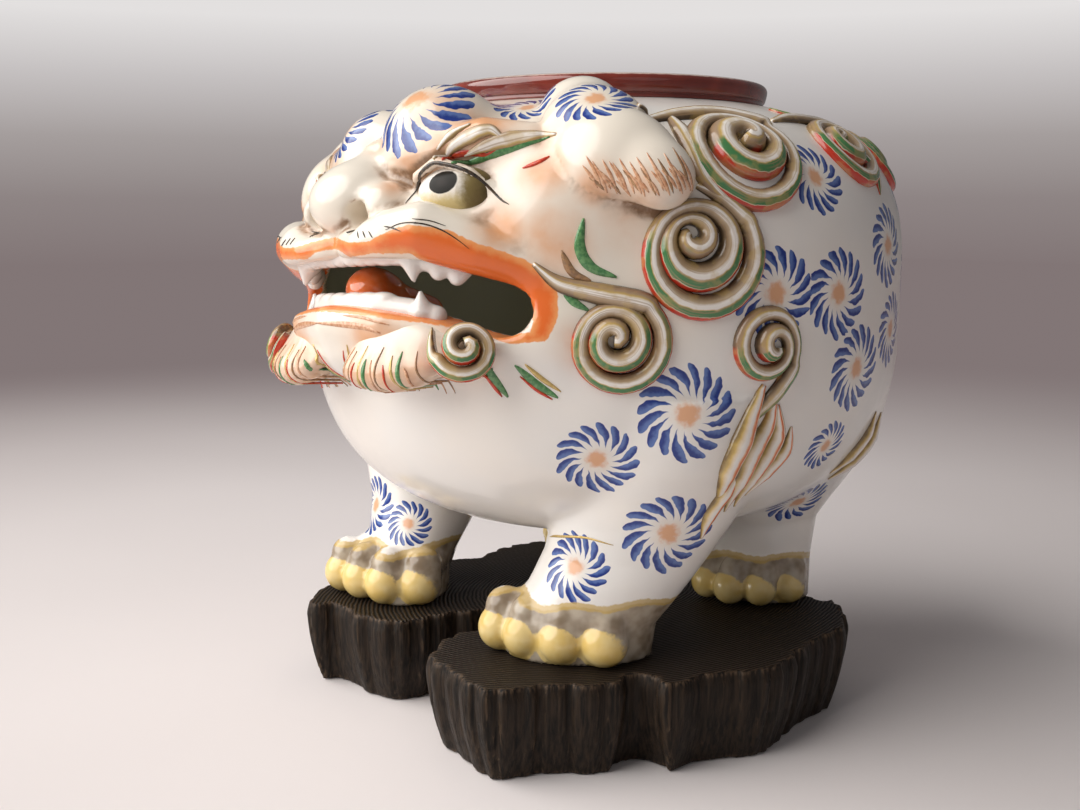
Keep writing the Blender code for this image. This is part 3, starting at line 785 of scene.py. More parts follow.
def whorl_paint(shade, base):
    """Sixteen cobalt commas swept round an orange heart, drawn in the whorl's own flat coordinates."""
    spot = shade.value("UVMap", uv_map="whorl")
    wobble = shade.value(
        "TexNoise", {"Scale": 330.0, "Detail": 1.0, "Vector": shade.position()}, output="Color",
    )
    wobble = shade.vector("SUBTRACT", {0: wobble, 1: (0.5, 0.5, 0.5)})
    wobble = shade.vector("SCALE", {0: wobble, "Scale": 0.1})
    spot = shade.vector("ADD", {0: spot, 1: wobble})
    x, y, _ = shade.split(spot)
    radius = (x ** 2.0 + y ** 2.0) ** 0.5
    angle = shade.math("ARCTAN2", y, x)
    swept = angle - (radius - 0.3) * 0.85
    count = (swept + math.pi * 3) * (COMMAS / (2 * math.pi))
    petal = shade.math("FLOORED_MODULO", count, 1.0)
    number = shade.math("FLOORED_MODULO", shade.math("FLOOR", count, 1.0), COMMAS)
    chance = shade.value("TexWhiteNoise", {"W": number}, output="Value", noise_dimensions="1D")
    sideways = (petal - 0.5) * (radius * 0.39)
    # half width of a comma: fine by the heart, full towards the tip, rounded off at the end
    end = 0.93 + chance * 0.09
    inner = shade.step(radius, 0.34, 0.80, 0.012, 0.125)
    past = (radius - (end - 0.14)) / 0.14
    past = shade.math("MAXIMUM", past, 0.0) ** 2.0
    cap = shade.math("MAXIMUM", 1.0 - past, 0.0) ** 0.5
    inside = inner * cap - shade.math("ABSOLUTE", sideways, 0.0)
    blue = shade.step(inside, 0.001, 0.018) * shade.step(radius, 0.33, 0.4)
    tone = shade.step(sideways * 9.0 + shade.noise(700, 2), 0.0, 1.1)
    ink = shade.mix(tone, COBALT, PALE_BLUE)
    washed = shade.step(radius + shade.noise(420, 2) * 0.35, 0.66, 0.22)
    heart = shade.step(radius + shade.noise(500, 3) * 0.25, 0.42, 0.26)
    base = shade.mix(washed * 0.35, base, (0.8, 0.55, 0.36))
    base = shade.mix(heart * 0.75, base, (0.72, 0.3, 0.1))
    return shade.mix(blue, base, ink)


def porcelain_material():
    shade = Shade("white_porcelain")
    base = shade.mix(shade.cloud(28, 3, 0.3, 0.7), WHITE, (0.82, 0.795, 0.76))
    base = shade.mix(shade.attribute("cream") * 0.6, base, CREAM)
    # peach blush, with painted shade in the face's hollows laid on as peach too
    blush = shade.attribute("blush") * shade.cloud(110, 3, 0.25, 0.75, 0.75, 1.12)
    base = shade.mix(shade.step(blush, 0.04, 1.0), base, PEACH)
    # brown wash, with painted shade in the face's creases and under the ears laid on as brown
    wash = shade.attribute("wash") * shade.cloud(260, 4, 0.3, 0.7, 0.6, 1.15)
    base = shade.mix(shade.step(wash, 0.05, 1.0), base, BROWN)
    base = whorl_paint(shade, base)
    # the lips: orange laid on streakily, thin along its outer edge
    lips = shade.attribute("lips") + shade.noise(500, 3) * 1.2
    depth = shade.step(lips + shade.noise(300, 4) * 3.0, 2.6, -1.0)
    paint = shade.mix(depth, LIGHT_ORANGE, ORANGE)
    base = shade.mix(shade.step(lips, 0.75, 0.35), base, paint)
    # paws: a grey-brown wash under a gold line, and yellow claws
    paw = shade.attribute("paw") + shade.noise(420, 3) * 1.6
    grime = shade.mix(shade.cloud(150, 2, 0.3, 0.7), (0.24, 0.18, 0.12), (0.47, 0.40, 0.31))
    base = shade.mix(shade.step(paw, 1.0, 0.2), base, grime)
    line = shade.step(paw, -0.8, -0.1) * shade.step(paw, 2.4, 1.7)
    base = shade.mix(line * 0.85, base, GOLD)
    claw = shade.attribute("claw") + shade.noise(600, 2) * 0.6
    horn = shade.mix(shade.cloud(160, 2, 0.3, 0.7), YELLOW, (0.78, 0.60, 0.26))
    base = shade.mix(shade.step(claw, 0.5, 0.05), base, horn)
    # painted shade: the pot's inside, seen through the mouth, is a darker greenish grey
    inside = shade.step(shade.attribute("inside"), 0.4, 0.6)
    base = shade.mix(inside, base, (0.44, 0.43, 0.33))
    rough = shade.cloud(90, 3, 0.3, 0.7, 0.16, 0.26)
    return shade.finish(base, rough, 0.0, 0.22, shade.noise(60, 2), 0.12)


# the groove side of a lock: brown wash, darkening to painted shade, nearly black where the windings meet
GROOVE_WASH_AND_SHADE = (
    (0.66, (0.50, 0.38, 0.25)), (0.80, (0.27, 0.18, 0.10)), (0.92, (0.10, 0.065, 0.035)),
    (1.0, (0.04, 0.03, 0.02)),
)


def lock_material():
    """Striped mane, from its outer edge in: red line, green band, white crown, tan, brown groove darkening
    to painted shade.
    """
    shade = Shade("striped_mane")
    drift = (shade.noise(240, 2) - 0.5) * 0.14
    spot = shade.attribute("across") * 0.5 + 0.5 + drift
    base = shade.ramp(
        spot, (0.00, RED), (0.10, RED), (0.115, PALE_GOLD), (0.14, GREEN), (0.34, GREEN), (0.37, GOLD),
        (0.42, WHITE), (0.55, WHITE), *GROOVE_WASH_AND_SHADE,
    )
    bare = shade.ramp(
        spot, (0.00, (0.08, 0.05, 0.03)), (0.10, (0.30, 0.19, 0.11)), (0.20, TAN), (0.30, GOLD),
        (0.40, WHITE), (0.56, WHITE), *GROOVE_WASH_AND_SHADE,
    )
    place = shade.attribute("under") + shade.noise(75, 2) * 1.6
    base = shade.mix(shade.step(place, 0.62, 0.30), base, bare)
    gilt = shade.mix(0.5, base, GOLD)
    base = shade.mix(shade.cloud(170, 3, 0.5, 0.62, 0.0, 0.7), base, gilt)
    # brush streaks that run along the lock
    lane = shade.value("CombineXYZ", {0: shade.attribute("across") * 6.5})
    drawn = shade.vector("MULTIPLY_ADD", {0: shade.position(), 1: (45.0, 45.0, 45.0), 2: lane})
    streak = shade.noise(1.0, 2, drawn)
    base = shade.mix(shade.step(streak, 0.50, 0.66, 0.0, 0.6), base, (0.38, 0.25, 0.13))
    return shade.finish(base, 0.18, 0.0, 0.3)


def warm_material():
    """The flame tufts: gold and brown at their edges, white along the crown, flushed with orange."""
    shade = Shade("warm_tufts")
    drift = (shade.noise(260, 2) - 0.5) * 0.2
    spot = shade.attribute("across") * 0.5 + 0.5 + drift
    base = shade.ramp(
        spot, (0.0, (0.20, 0.13, 0.06)), (0.10, GOLD), (0.2, PALE_GOLD), (0.32, WHITE), (0.46, WHITE),
        (0.54, LIGHT_ORANGE), (0.62, (0.60, 0.08, 0.03)), (0.70, LIGHT_ORANGE), (0.76, WHITE), (0.86, GOLD),
        (0.95, (0.24, 0.15, 0.07)), (1.0, (0.08, 0.05, 0.03)),
    )
    return shade.finish(base, 0.16, 0.0, 0.4)


def eye_material():
    """A white eye with a black pupil, gold at the inner corner and olive brown towards the outer one."""
    shade = Shade("painted_eye")
    outer, low = shade.attribute("outer"), shade.attribute("low")
    brushed = (shade.noise(700, 3) - 0.5) * 3.0
    base = shade.mix(shade.step(low + brushed, 1.5, 6.5), WHITE, (0.62, 0.5, 0.24))
    base = shade.mix(shade.step(outer + brushed, 3.6, 9.0), base, (0.2, 0.15, 0.06))
    base = shade.mix(shade.step(outer + brushed, 8.0, 16.0, 0.0, 0.8), base, (0.06, 0.04, 0.02))
    gaze = shade.attribute("gaze") + brushed * 0.12
    pupil = shade.mix(shade.step(gaze, 0.3, 2.6), (0.035, 0.03, 0.027), BLACK)
    base = shade.mix(shade.step(gaze, 4.2, 3.8), base, pupil)
    shade.shader.inputs["Specular IOR Level"].default_value = 0.12
    return shade.finish(base, 0.3)


def tooth_material():
    shade = Shade("white_teeth")
    tone = shade.cloud(200, 2, 0.35, 0.65)
    return shade.finish(
        shade.mix(tone, (0.80, 0.76, 0.72), (0.84, 0.81, 0.78)), 0.10, 0.0, 0.5, shade.noise(260, 2), 0.1,
    )


def tongue_material():
    shade = Shade("red_tongue")
    streaks = shade.mix(shade.cloud(380, 4, 0.3, 0.7), (0.80, 0.20, 0.06), ORANGE)
    return shade.finish(streaks, 0.10, 0.0, 0.6)


def collar_material():
    """Iron red, paler along the top edge, darker where it ran down."""
    shade = Shade("iron_red_collar")
    cloud = shade.mix(shade.cloud(60, 5, 0.3, 0.7), (0.26, 0.038, 0.022), (0.15, 0.022, 0.015))
    edge = shade.attribute("edge") + shade.noise(300, 3) * 0.5
    base = shade.mix(shade.step(edge, 0.6, 1.0), cloud, (0.70, 0.55, 0.48))
    return shade.finish(base, 0.13, 0.0, 0.5, shade.noise(80, 3), 0.15)


def wood_material():
    """Scorched wood: dark brown lines of grain down the sides and round the top, paler where it is worn."""
    shade = Shade("scorched_wood")
    x, y, _ = shade.split(shade.position())
    rings = shade.value("CombineXYZ", {0: x * 30.0, 1: y * 24.0, 2: 0.0})
    wave = shade.value(
        "TexWave", {"Vector": rings, "Scale": 7.5, "Distortion": 2.6, "Detail": 3.0, "Detail Scale": 0.8},
        output="Fac", wave_type="RINGS", rings_direction="Z",
    )
    upright = shade.vector("MULTIPLY", {0: shade.position(), 1: (900.0, 900.0, 28.0)})
    fibre = shade.noise(1.0, 3.0, upright, 0.6)
    up = shade.value("SeparateXYZ", {0: shade.value("NewGeometry", output="Normal")}, output=2)
    flat = shade.step(up, 0.5, 0.85)
    grain = wave * flat + fibre * (1.0 - flat)
    base = shade.mix(shade.step(grain, 0.25, 0.75), (0.004, 0.003, 0.0025), (0.030, 0.018, 0.010))
    worn = shade.step(shade.attribute("edge"), 0.0, 1.0) * shade.step(fibre, 0.4, 0.7)
    base = shade.mix(worn * 0.6, base, (0.14, 0.09, 0.055))
    shade.shader.inputs["Specular IOR Level"].default_value = 0.2
    return shade.finish(base, shade.step(grain, 0.2, 0.8, 0.65, 0.45), 0.0, 0.0, grain, 0.9)


# ---- beard, teeth and tongue -----------------------------------------------------------------------------


def beard_field(points):
    """The fringe under the lip: two combed fans that flare outwards, with a dip between them."""
    half = halved(tilted(points.astype(np.float32)))
    fan = ball(half, (26, -114.2, 138.5), (19, 9.8, 9), turn_to(16, 0))
    fan = blend(fan, ball(half, (27, -119.6, 133.0), (18.5, 7.2, 9.5), turn_to(16, -24)), 5)
    roll = rod(
        half, (0, -116.5, 140.5, 6.2), (22, -113.5, 139.5, 7), (40, -103, 136.5, 6.2), (50, -94, 134, 4.5),
    )
    fan = blend(fan, roll, 5)
    fan = blend(fan, ball(half, (45, -104.5, 136), (10, 8, 10), turn_to(24, 0)), 3)
    spread = np.arctan2(half[:, 0] - 22, 158 - half[:, 2])
    comb = np.abs(np.sin(spread * 15.0)) * np.clip((142 - half[:, 2]) / 12, 0, 1)
    return (fan + 0.5 - 0.9 * comb).astype(np.float32)


def tooth(half, root, tip, width):
    return rod(half, (*root, width), (*tip, 0.7))


def upper_teeth_field(points):
    half = halved(tilted(points.astype(np.float32)))
    row = rod(
        half, (0, -116, 168.5, 3.4), (16, -116.5, 168.8, 3.8), (28, -113, 168, 4.2), (37, -107.5, 165, 4.0),
        (43, -102, 162, 3.0),
    )
    row = blend(row, tooth(half, (31, -112.5, 166), (32.4, -113.5, 159.4), 4.6), 1.4)
    for x, y, z in ((37.5, -107.5, 161.4), (42, -103.8, 159.6)):
        row = blend(row, ball(half, (x, y, z), (2.8, 2.5, 2.4)), 1.6)
    for x in (3, 8.5, 14, 19.5):
        row = blend(row, ball(half, (x, -116.5 + 0.004 * x * x, 166.2), (2.8, 2.4, 1.6)), 1.6)
    return row


def lower_teeth_field(points):
    half = halved(tilted(points.astype(np.float32)))
    row = rod(
        half, (0, -117.5, 151.6, 4.2), (16, -115.5, 151.3, 4.2), (27, -110.5, 149.8, 4.0),
        (34, -106.5, 148, 3.4),
    )
    row = blend(row, tooth(half, (31, -110, 150), (31.5, -110.5, 155.6), 3.8), 1.2)
    for x in (4, 11, 18):
        row = blend(row, ball(half, (x, -117 + 0.006 * x * x, 154.4), (3.6, 2.8, 1.6)), 2.0)
    return row


def tongue_field(points):
    face = tilted(points.astype(np.float32))
    body = ball(face, (-5, -104, 156.5), (9, 9, 8))
    return blend(body, rod(face, (-4, -98, 153, 7), (-2, -84, 148, 6)), 5)


def net_piece(name, field, low, high, cell, material, slot, *nodes):
    verts, faces = surface_net(field, low, high, cell)
    return placed(mesh_piece(name, verts, faces, material), slot, *nodes)


# ---- eyes ------------------------------------------------------------------------------------------------


EYE_RADII = (13.4, 7.8, 8.2)
EYE_TURN = math.radians(24)
PUPIL = np.array([40.8, -107.2, 189.0])
PUPIL_NARROWING = (0.82, 0.5, 1.12)


def build_eyes(material):
    for side, label in ((1, "left"), (-1, "right")):
        shape = bmesh.new()
        bmesh.ops.create_icosphere(shape, subdivisions=5, radius=1.0)
        bmesh.ops.scale(shape, verts=shape.verts, vec=Vector(EYE_RADII))
        bmesh.ops.rotate(shape, verts=shape.verts, matrix=Matrix.Rotation(EYE_TURN, 3, "Z"))
        verts = np.array([vert.co for vert in shape.verts]) + (EYE[0] + 1.3, EYE[1] + 1.0, EYE[2] + 0.6)
        faces = [[vert.index for vert in face.verts] for face in shape.faces]
        shape.free()
        long_way = np.array([math.cos(EYE_TURN), math.sin(EYE_TURN), 0.0])
        gaze = np.linalg.norm((verts - PUPIL) * PUPIL_NARROWING, axis=1)
        outer, low = (verts - PUPIL) @ long_way, PUPIL[2] - verts[:, 2]
        if side < 0:
            verts[:, 1] += FAR_EYE_SINK
            faces = [face[::-1] for face in faces]
        verts = tilted(verts * (side, 1, 1), -1)
        eye = mesh_piece(f"eye_{label}", verts, faces, material)
        point_values(eye, gaze=gaze, outer=outer, low=low)
        placed(eye, "white_glaze", f"eyeball_{label}")


# ---- collar and stand ------------------------------------------------------------------------------------


def build_collar(material):
    """A turned ring with a rolled top edge, glazed down both its faces."""
    inner, outer, top = RIM_INNER, RIM_RADIUS, RIM_TOP
    profile = rounded(
        [
            (inner, RIM_BASE), (inner, top - 3), (inner + 0.8, top - 0.6), (inner + 2.2, top),
            (outer - 2.4, top), (outer - 0.7, top - 0.8), (outer, top - 2.6), (outer - 0.8, top - 6),
            (outer - 1.6, RIM_BASE + 1.5), (outer - 1.6, RIM_BASE),
        ],
        4,
    )
    turns, count = 160, len(profile)
    verts, faces, edge = [], [], []
    for turn in range(turns):
        bearing = 2 * math.pi * turn / turns
        here, onward = turn * count, (turn + 1) % turns * count
        for spot, (radius, height) in enumerate(profile):
            verts.append((radius * math.cos(bearing), radius * math.sin(bearing), height))
            edge.append(np.interp(height, [top - 1.2, top], [0, 1]) * (radius > outer - 4))
            after = (spot + 1) % count
            faces.append((here + spot, onward + spot, onward + after, here + after))
    collar = mesh_piece("glazed_collar", verts, faces, material)
    point_values(collar, edge=edge)
    face_outwards(collar)
    placed(collar, "red_glaze", "rim_collar")


STAND_OUTLINE = [
    (-77, -80), (-60, -101), (-50, -94), (-34, -95), (-24, -92), (-18, -89), (-13, -78), (-11, -64),
    (-3, -54), (7, -62), (6, -71), (6, -84), (12, -93), (20, -102), (32, -103), (47, -106), (59, -103),
    (67, -87), (75, -79), (80, -69), (78, -58), (87, -58), (93, -56), (95, -40), (103, -26), (104, -13),
    (98, 11), (97, 26), (96, 33), (84, 50), (73, 57), (66, 54), (46, 63), (28, 58), (10, 51), (-8, 58),
    (-24, 62), (-46, 58), (-60, 45), (-70, 28), (-73, 8), (-68, -10), (-75, -25), (-79, -48),
]


FLUTE_SPACING = 10.0
FLUTE_DEPTH = 4.2
WEAR_DEPTH = 2.5
WEAR_FADE = 1.4


def stand_field_maker():
    """The slab's distance field. Its outline, with the gouged flutes, is worked out once on a flat grid."""
    outline = rounded(STAND_OUTLINE, 6)
    low, cell = np.array([-88.0, -114.0]), 0.8
    xs, ys = np.meshgrid(low[0] + cell * np.arange(252), low[1] + cell * np.arange(236), indexing="ij")
    flat = outline_distance(xs.ravel(), ys.ravel(), outline)
    length = np.concatenate([[0], np.cumsum(np.linalg.norm(np.diff(outline, axis=0), axis=1))])
    nearest = np.full(len(flat), 1e9)
    along = np.zeros(len(flat))
    for spot, place in zip(outline, length):
        gap = (xs.ravel() - spot[0]) ** 2 + (ys.ravel() - spot[1]) ** 2
        along = np.where(gap < nearest, place, along)
        nearest = np.minimum(nearest, gap)
    wander = along + 2.4 * np.sin(along / 17) + 1.6 * np.sin(along / 7.3 + 1)
    groove = np.abs(np.sin(wander * math.pi / FLUTE_SPACING)) ** 0.5
    depth = FLUTE_DEPTH * (1 - groove) + 0.5 * np.sin(along / 2.1) * np.sin(along / 5.3)
    flat = (flat + depth * np.exp(-np.abs(flat) / 7)).reshape(xs.shape)

    def field(points):
        spot = (points[:, :2] - low) / cell
        corner = np.clip(np.floor(spot).astype(int), 0, np.array(flat.shape) - 2)
        part = np.clip(spot - corner, 0, 1)
        i, j = corner.T
        u, v = part.T
        side = flat[i, j] * (1 - u) * (1 - v) + flat[i + 1, j] * u * (1 - v)
        side = side + flat[i, j + 1] * (1 - u) * v + flat[i + 1, j + 1] * u * v
        share = np.clip(points[:, 2] / STAND_TOP, 0, 1)
        side = side + 6.0 * (1 - share) ** 2 + 1.4 * np.clip(share - 0.86, 0, 1) * 7
        return np.maximum(
            np.maximum(side * 0.93, points[:, 2] - STAND_TOP), 0.05 - points[:, 2],
        ).astype(np.float32)

    return field


def build_stand(material):
    field = stand_field_maker()
    cell = 1.1
    verts, faces = surface_net(field, (-90, -116, -3), (112, 74, STAND_TOP + 4), cell)
    stand = mesh_piece("carved_stand", verts, faces, material)
    normals = field_normals(field, verts, 0.5)[0]
    point_values(stand, edge=edge_wear(field, verts, normals))
    placed(stand, "dark_wood", "wood_stand", body="stand")


def edge_wear(field, verts, normals):
    """One on the sharp edges of a field's surface, fading to nothing on its flats."""
    buried = field(verts - normals * WEAR_DEPTH)
    return np.clip((buried + WEAR_DEPTH) / WEAR_FADE, 0, 1)


# ---- the porcelain body and its painting -----------------------------------------------------------------

UPPER_LIP = [
    (-4, 174.5), (2.5, 174.1), (7.9, 172.8), (11.8, 173.5), (15.1, 176.6), (18.1, 178.5), (20.5, 177.9),
    (23.4, 177), (25.4, 175), (27.4, 173), (30.6, 171), (34, 168.4), (36.8, 164.5), (39, 159),
    (39.2, 150.5), (37.4, 143.4), (35, 145), (35.4, 150), (34.6, 154), (32.5, 157), (28, 158),
    (22.5, 158.5), (20.8, 161.8), (19.4, 165.4), (17.5, 169.8), (12.1, 169.5), (5.5, 168.2), (3.1, 170.3),
    (-4, 170.3),
]
LOWER_LIP = [
    (-4, 153.9), (5.9, 153.8), (11.3, 153.4), (15.3, 151.6), (18.8, 151), (22.2, 150), (26.4, 148),
    (31.9, 145.6), (36.5, 147), (37, 143.6), (31.9, 142.8), (26.4, 145.2), (22.2, 147.2), (18.8, 148.3),
    (15.3, 149), (11.3, 150.2), (5.9, 150.5), (-4, 150.7),
]
MM_PER_DEGREE = 1.95
UNPAINTED = 9.0
LIP_RADIUS = 116.0
BLUSH = [
    (45, -95, 207, 15, 0.9), (66, -88, 190, 10, 0.8), (67, -84, 170, 12, 1.0), (55, -96, 173, 10, 1.0),
    (24, -106, 196, 10, 0.7), (30, -98, 213, 13, 0.6), (88, -74, 178, 14, 0.55), (80, -78, 184, 9, 0.5),
    (22, -120, 141, 13, 0.9), (46, -107, 137, 11, 0.9), (70, -82, 139, 9, 0.7), (22, -112, 188, 6, 0.7),
    (62, -80, 200, 11, 0.6), (6, -104, 204, 8, 0.5), (12, -116, 176, 6, 0.4), (36, -104, 201, 12, 0.7),
    (30, -118, 136, 12, 0.7), (82, -81, 185, 8, 0.8), (92, -70, 184, 8, 0.85), (98, -62, 183, 7, 0.7),
]
# Brown spots in the face's creases, by the nose, the eyes and the lip's corner, and under the ears: partly
# brown wash, partly painted shade.
SHADE_AND_WASH_SPOTS = [
    (27, -105, 188, 5, 0.9), (59, -92, 168, 6, 0.8), (50, -100, 175, 5, 0.7), (27, -110, 181, 4.5, 0.7),
    (66, -84, 172, 6, 0.5), (88, -76, 180, 7, 0.4), (10, -106, 199, 4, 0.3), (62, -86, 192, 5, 0.4),
    (81, -82, 183, 5, 0.4), (91, -72, 182, 5, 0.45),
]
WHORLS = [
    (59.4, 121.1, 16), (45.1, 105.7, 13.5), (58.7, 80, 15.5), (40.5, 66.5, 12.2), (74.5, 157.5, 15),
    (88.5, 156.5, 15), (95.5, 131, 15), (85.2, 193.5, 13), (106.3, 171.2, 14.5), (92.3, 104.5, 10),
    (9.9, 218, 20), (-15, 211, 13), (27, 216, 12), (44.3, 216.5, 13), (110, 142, 13.5), (126, 160, 15),
    (125, 188, 13), (145, 180, 14), (150, 142, 15), (131, 118, 14), (112, 76, 13), (158, 205, 12),
    (172, 118, 14), (140, 70, 13), (-29.5, 62.5, 9.5),
]


def bearing_and_height(points):
    return np.stack(
        [np.degrees(np.arctan2(np.abs(points[:, 0]), -points[:, 1])) * MM_PER_DEGREE, points[:, 2]], 1,
    )


def paint_band(face_points, outline):
    """The signed distance to a painted outline of (azimuth, height) places on the face's left half."""
    azimuths, heights = np.array(outline, float).T
    edge = bearing_and_height(tilted(polar(azimuths, LIP_RADIUS, heights)))
    edge[:, 0] *= np.sign(azimuths)
    spots = bearing_and_height(face_points)
    return outline_distance(spots[:, 0], spots[:, 1], edge)


def glow(points, spots):
    strength = np.zeros(len(points))
    for x, y, z, reach, power in spots:
        gap = ((points - (x, y, z)) ** 2).sum(1) / reach**2
        strength = np.maximum(strength, power * np.exp(-gap))
    return strength


def paint_values(verts, normals):
    """Where each kind of paint lies, as values at the vertices."""
    face = tilted(verts)
    half = halved(face)
    front = (face[:, 1] < -55) & (face[:, 2] > 135)
    lips = np.full(len(verts), UNPAINTED)
    lips[front] = np.minimum(paint_band(face[front], UPPER_LIP), paint_band(face[front], LOWER_LIP))
    inside = (pot_field(verts) < -WALL + 1.2) & (np.hypot(verts[:, 0], verts[:, 1]) < POT_RADIUS)
    lips[inside] = UNPAINTED
    around_face = np.clip((-face[:, 1] - 45) / 15, 0, 1) * np.clip((face[:, 2] - 128) / 8, 0, 1)
    # painted shade: the face's hollows, where the porcelain comes close again a little way out from the
    # surface, are darkened brown and tinted peach
    hollow = np.clip(1 - porcelain_field(verts + normals * 4.0) / 4.0, 0, 1) * around_face
    wash = np.maximum(glow(half, SHADE_AND_WASH_SPOTS), 0.95 * np.clip(hollow * 1.8 - 0.2, 0, 1)) * (lips > 0.5)
    blush = np.maximum(glow(half, BLUSH), 0.8 * hollow)
    claw, paw = np.full(len(verts), UNPAINTED), np.full(len(verts), UNPAINTED)
    low = verts[:, 2] < 70
    feet = verts[low]
    nails = [ball(feet, (x, y - 2.4, 39.9), (8.1, 8.8, 8.4)) for x, y in FORE_TOES]
    both = halved(feet)
    nails += [ball(both, (x, y - 2.2, 38.8), (6.7, 7.4, 7.0)) for x, y in HIND_TOES]
    claw[low] = np.min(nails, axis=0)
    sway = 1.6 * np.sin(feet[:, 0] / 4.5) * np.cos(feet[:, 1] / 6)
    paw[low] = feet[:, 2] - np.where(feet[:, 1] < 0, 53 + (feet[:, 1] + 75) * 0.05, 50.5) - sway
    return {
        "cream": around_face * np.clip((face[:, 2] - 128) / 20, 0, 1), "lips": lips,
        "inside": inside.astype(float), "wash": wash, "blush": blush, "claw": claw, "paw": paw,
    }


def lay_whorls(obj, verts, normals, faces):
    """Each face corner's flat coordinates in its nearest whorl, in whorl radii, or far off without one."""
    faces = np.array(faces)
    centres, facing = verts[faces].mean(1), normals[faces].mean(1)
    inside = pot_field(centres) < -WALL + 1.2
    flat = np.full((*faces.shape, 2), UNPAINTED)
    nearest = np.full(len(faces), 1.12)
    for azimuth, height, size in WHORLS:
        for side in SIDES if azimuth > 0 else SIDES[1:]:
            (middle,), (out,) = on_figure([(abs(azimuth), height)], side)
            across, up = flat_axes(abs(azimuth) * side, out)
            share = np.linalg.norm(centres - middle, axis=1) / size
            near = (share < nearest) & (facing @ out > 0.1) & ~inside
            nearest = np.where(near, share, nearest)
            corners = verts[faces[near]] - middle
            spread = np.stack([corners @ across, corners @ up], -1)
            reach = np.linalg.norm(corners, axis=-1) / np.maximum(np.linalg.norm(spread, axis=-1), 1e-6)
            flat[near] = spread * np.clip(reach, 1, 1.4)[..., None] / size
    layer = obj.data.uv_layers.new(name="whorl")
    layer.data.foreach_set("uv", flat.ravel())


def build_body(material):
    cell = 1.5
    verts, faces = surface_net(porcelain_field, (-125, -140, SOLE - 4), (125, 128, 232), cell)
    body = mesh_piece("porcelain_body", verts, faces, material)
    normals = field_normals(porcelain_field, verts, 0.6)[0]
    point_values(body, **paint_values(verts, normals))
    lay_whorls(body, verts, normals, faces)
    placed(
        body, "white_glaze", "pot_body", "face_mask", "lower_jaw", *both_sides("ear", "foreleg", "hindleg"),
    )


# ---- the mane --------------------------------------------------------------------------------------------


def build_mane(material):
    """The curls: their place, reach, turns, hand, starting angle, shift and tail, and the locks by them."""
    for name, node, curls, locks in (
        (
            "mane_curl_upper", "mane_upper",
            [((72.9, 204.6), 19.5, 2.4, -1, 35, (-4, -5), [(-34, 12), (-18, 15), (-2, 15), (11, 10)],
              [2, 6, 8, 9])],
            [([(59.5, 213), (60.6, 207), (61.6, 199), (62.8, 192), (65.6, 186), (68.6, 181)],
              [2, 6, 6.5, 6, 5, 1], 2.8, -1.0)],
        ),
        (
            "mane_curl_middle", "mane_middle",
            [((59.4, 175.5), 17.4, 2.7, -1, 30, (3.6, -6.8), [(3, 15), (10, 11.5), (16.5, 6)], [2, 5, 6.5])],
            [],
        ),
        (
            "mane_curl_lower", "mane_lower",
            [((47.5, 145), 14, 2.3, -1, 45, (1.5, -2.5), [(-24, 22), (-16, 16), (-4, 13), (8, 10.5)],
              [1.5, 5, 7, 7.5])],
            [],
        ),
        (
            "mane_curls_rear", "mane_rear",
            [((azimuth, height), 15, 2.2, -1, 60, (2, -2), [(-22, 14), (-12, 15), (-2, 14)], [2, 5, 6])
             for azimuth, height in ((100, 205), (130, 204))],
            [([(96, 217), (103, 208), (107, 196), (106, 188)], [2, 6, 6, 1], 2.6, 1.0),
             ([(158, 214), (163, 205), (161, 195), (156, 188)], [2, 7, 7, 1], 2.6, 1.0)],
        ),
        (
            "shoulder_curls", "shoulder_curl",
            [((74.5, 141), 12, 2.0, 1, -20, (-3.7, -0.5), [(-14, -34), (-8, -24), (1, -16), (7, -8)],
              [1, 4, 6, 6])],
            [],
        ),
    ):
        sweep = Sweep(LOCK_SECTION, LOCK_SINK)
        for shape in curls:
            curl(sweep, *shape)
        for places, widths, height, under in locks:
            lock(sweep, places, widths, height, under=under)
        sweep.piece(name, material, "green_enamel", *both_sides(node))


def build_tufts(material):
    fore = Sweep(LOCK_SECTION, 3)
    for places, widths in (
        ([(73.1, 128.9), (71.2, 121), (69.4, 111.3), (67.6, 101.1), (67.5, 88.3)], [2, 6, 9, 7, 1]),
        ([(75.5, 125.3), (74.9, 115.5), (72.2, 107.4), (70.8, 97), (70.0, 86)], [2, 6, 9, 7, 1]),
        ([(76.3, 121.9), (77.6, 111.8), (76.2, 105.1), (73.6, 96.6), (72.6, 87)], [2, 6, 8, 7, 1]),
        ([(70.4, 102), (68.6, 94), (66.4, 85), (65.8, 77)], [1, 6, 5, 1]),
        ([(80.4, 114), (80.4, 106), (77.8, 98), (75.4, 90)], [1, 6, 6, 1]),
    ):
        lock(fore, places, widths, 3.4)
    fore.piece("foreleg_tufts", material, "gold_enamel", *both_sides("foreleg_tuft"))
    hind = Sweep(LOCK_SECTION, 3)
    for places, widths in (
        ([(112, 112), (112, 104), (109, 96), (106, 90)], [1, 6, 6, 1]),
        ([(118, 110), (118, 101), (115, 92), (111, 86)], [1, 6, 6, 1]),
    ):
        lock(hind, places, widths, 3.0)
    hind.piece("hindleg_tufts", material, "gold_enamel", *both_sides("hindleg_tuft"))


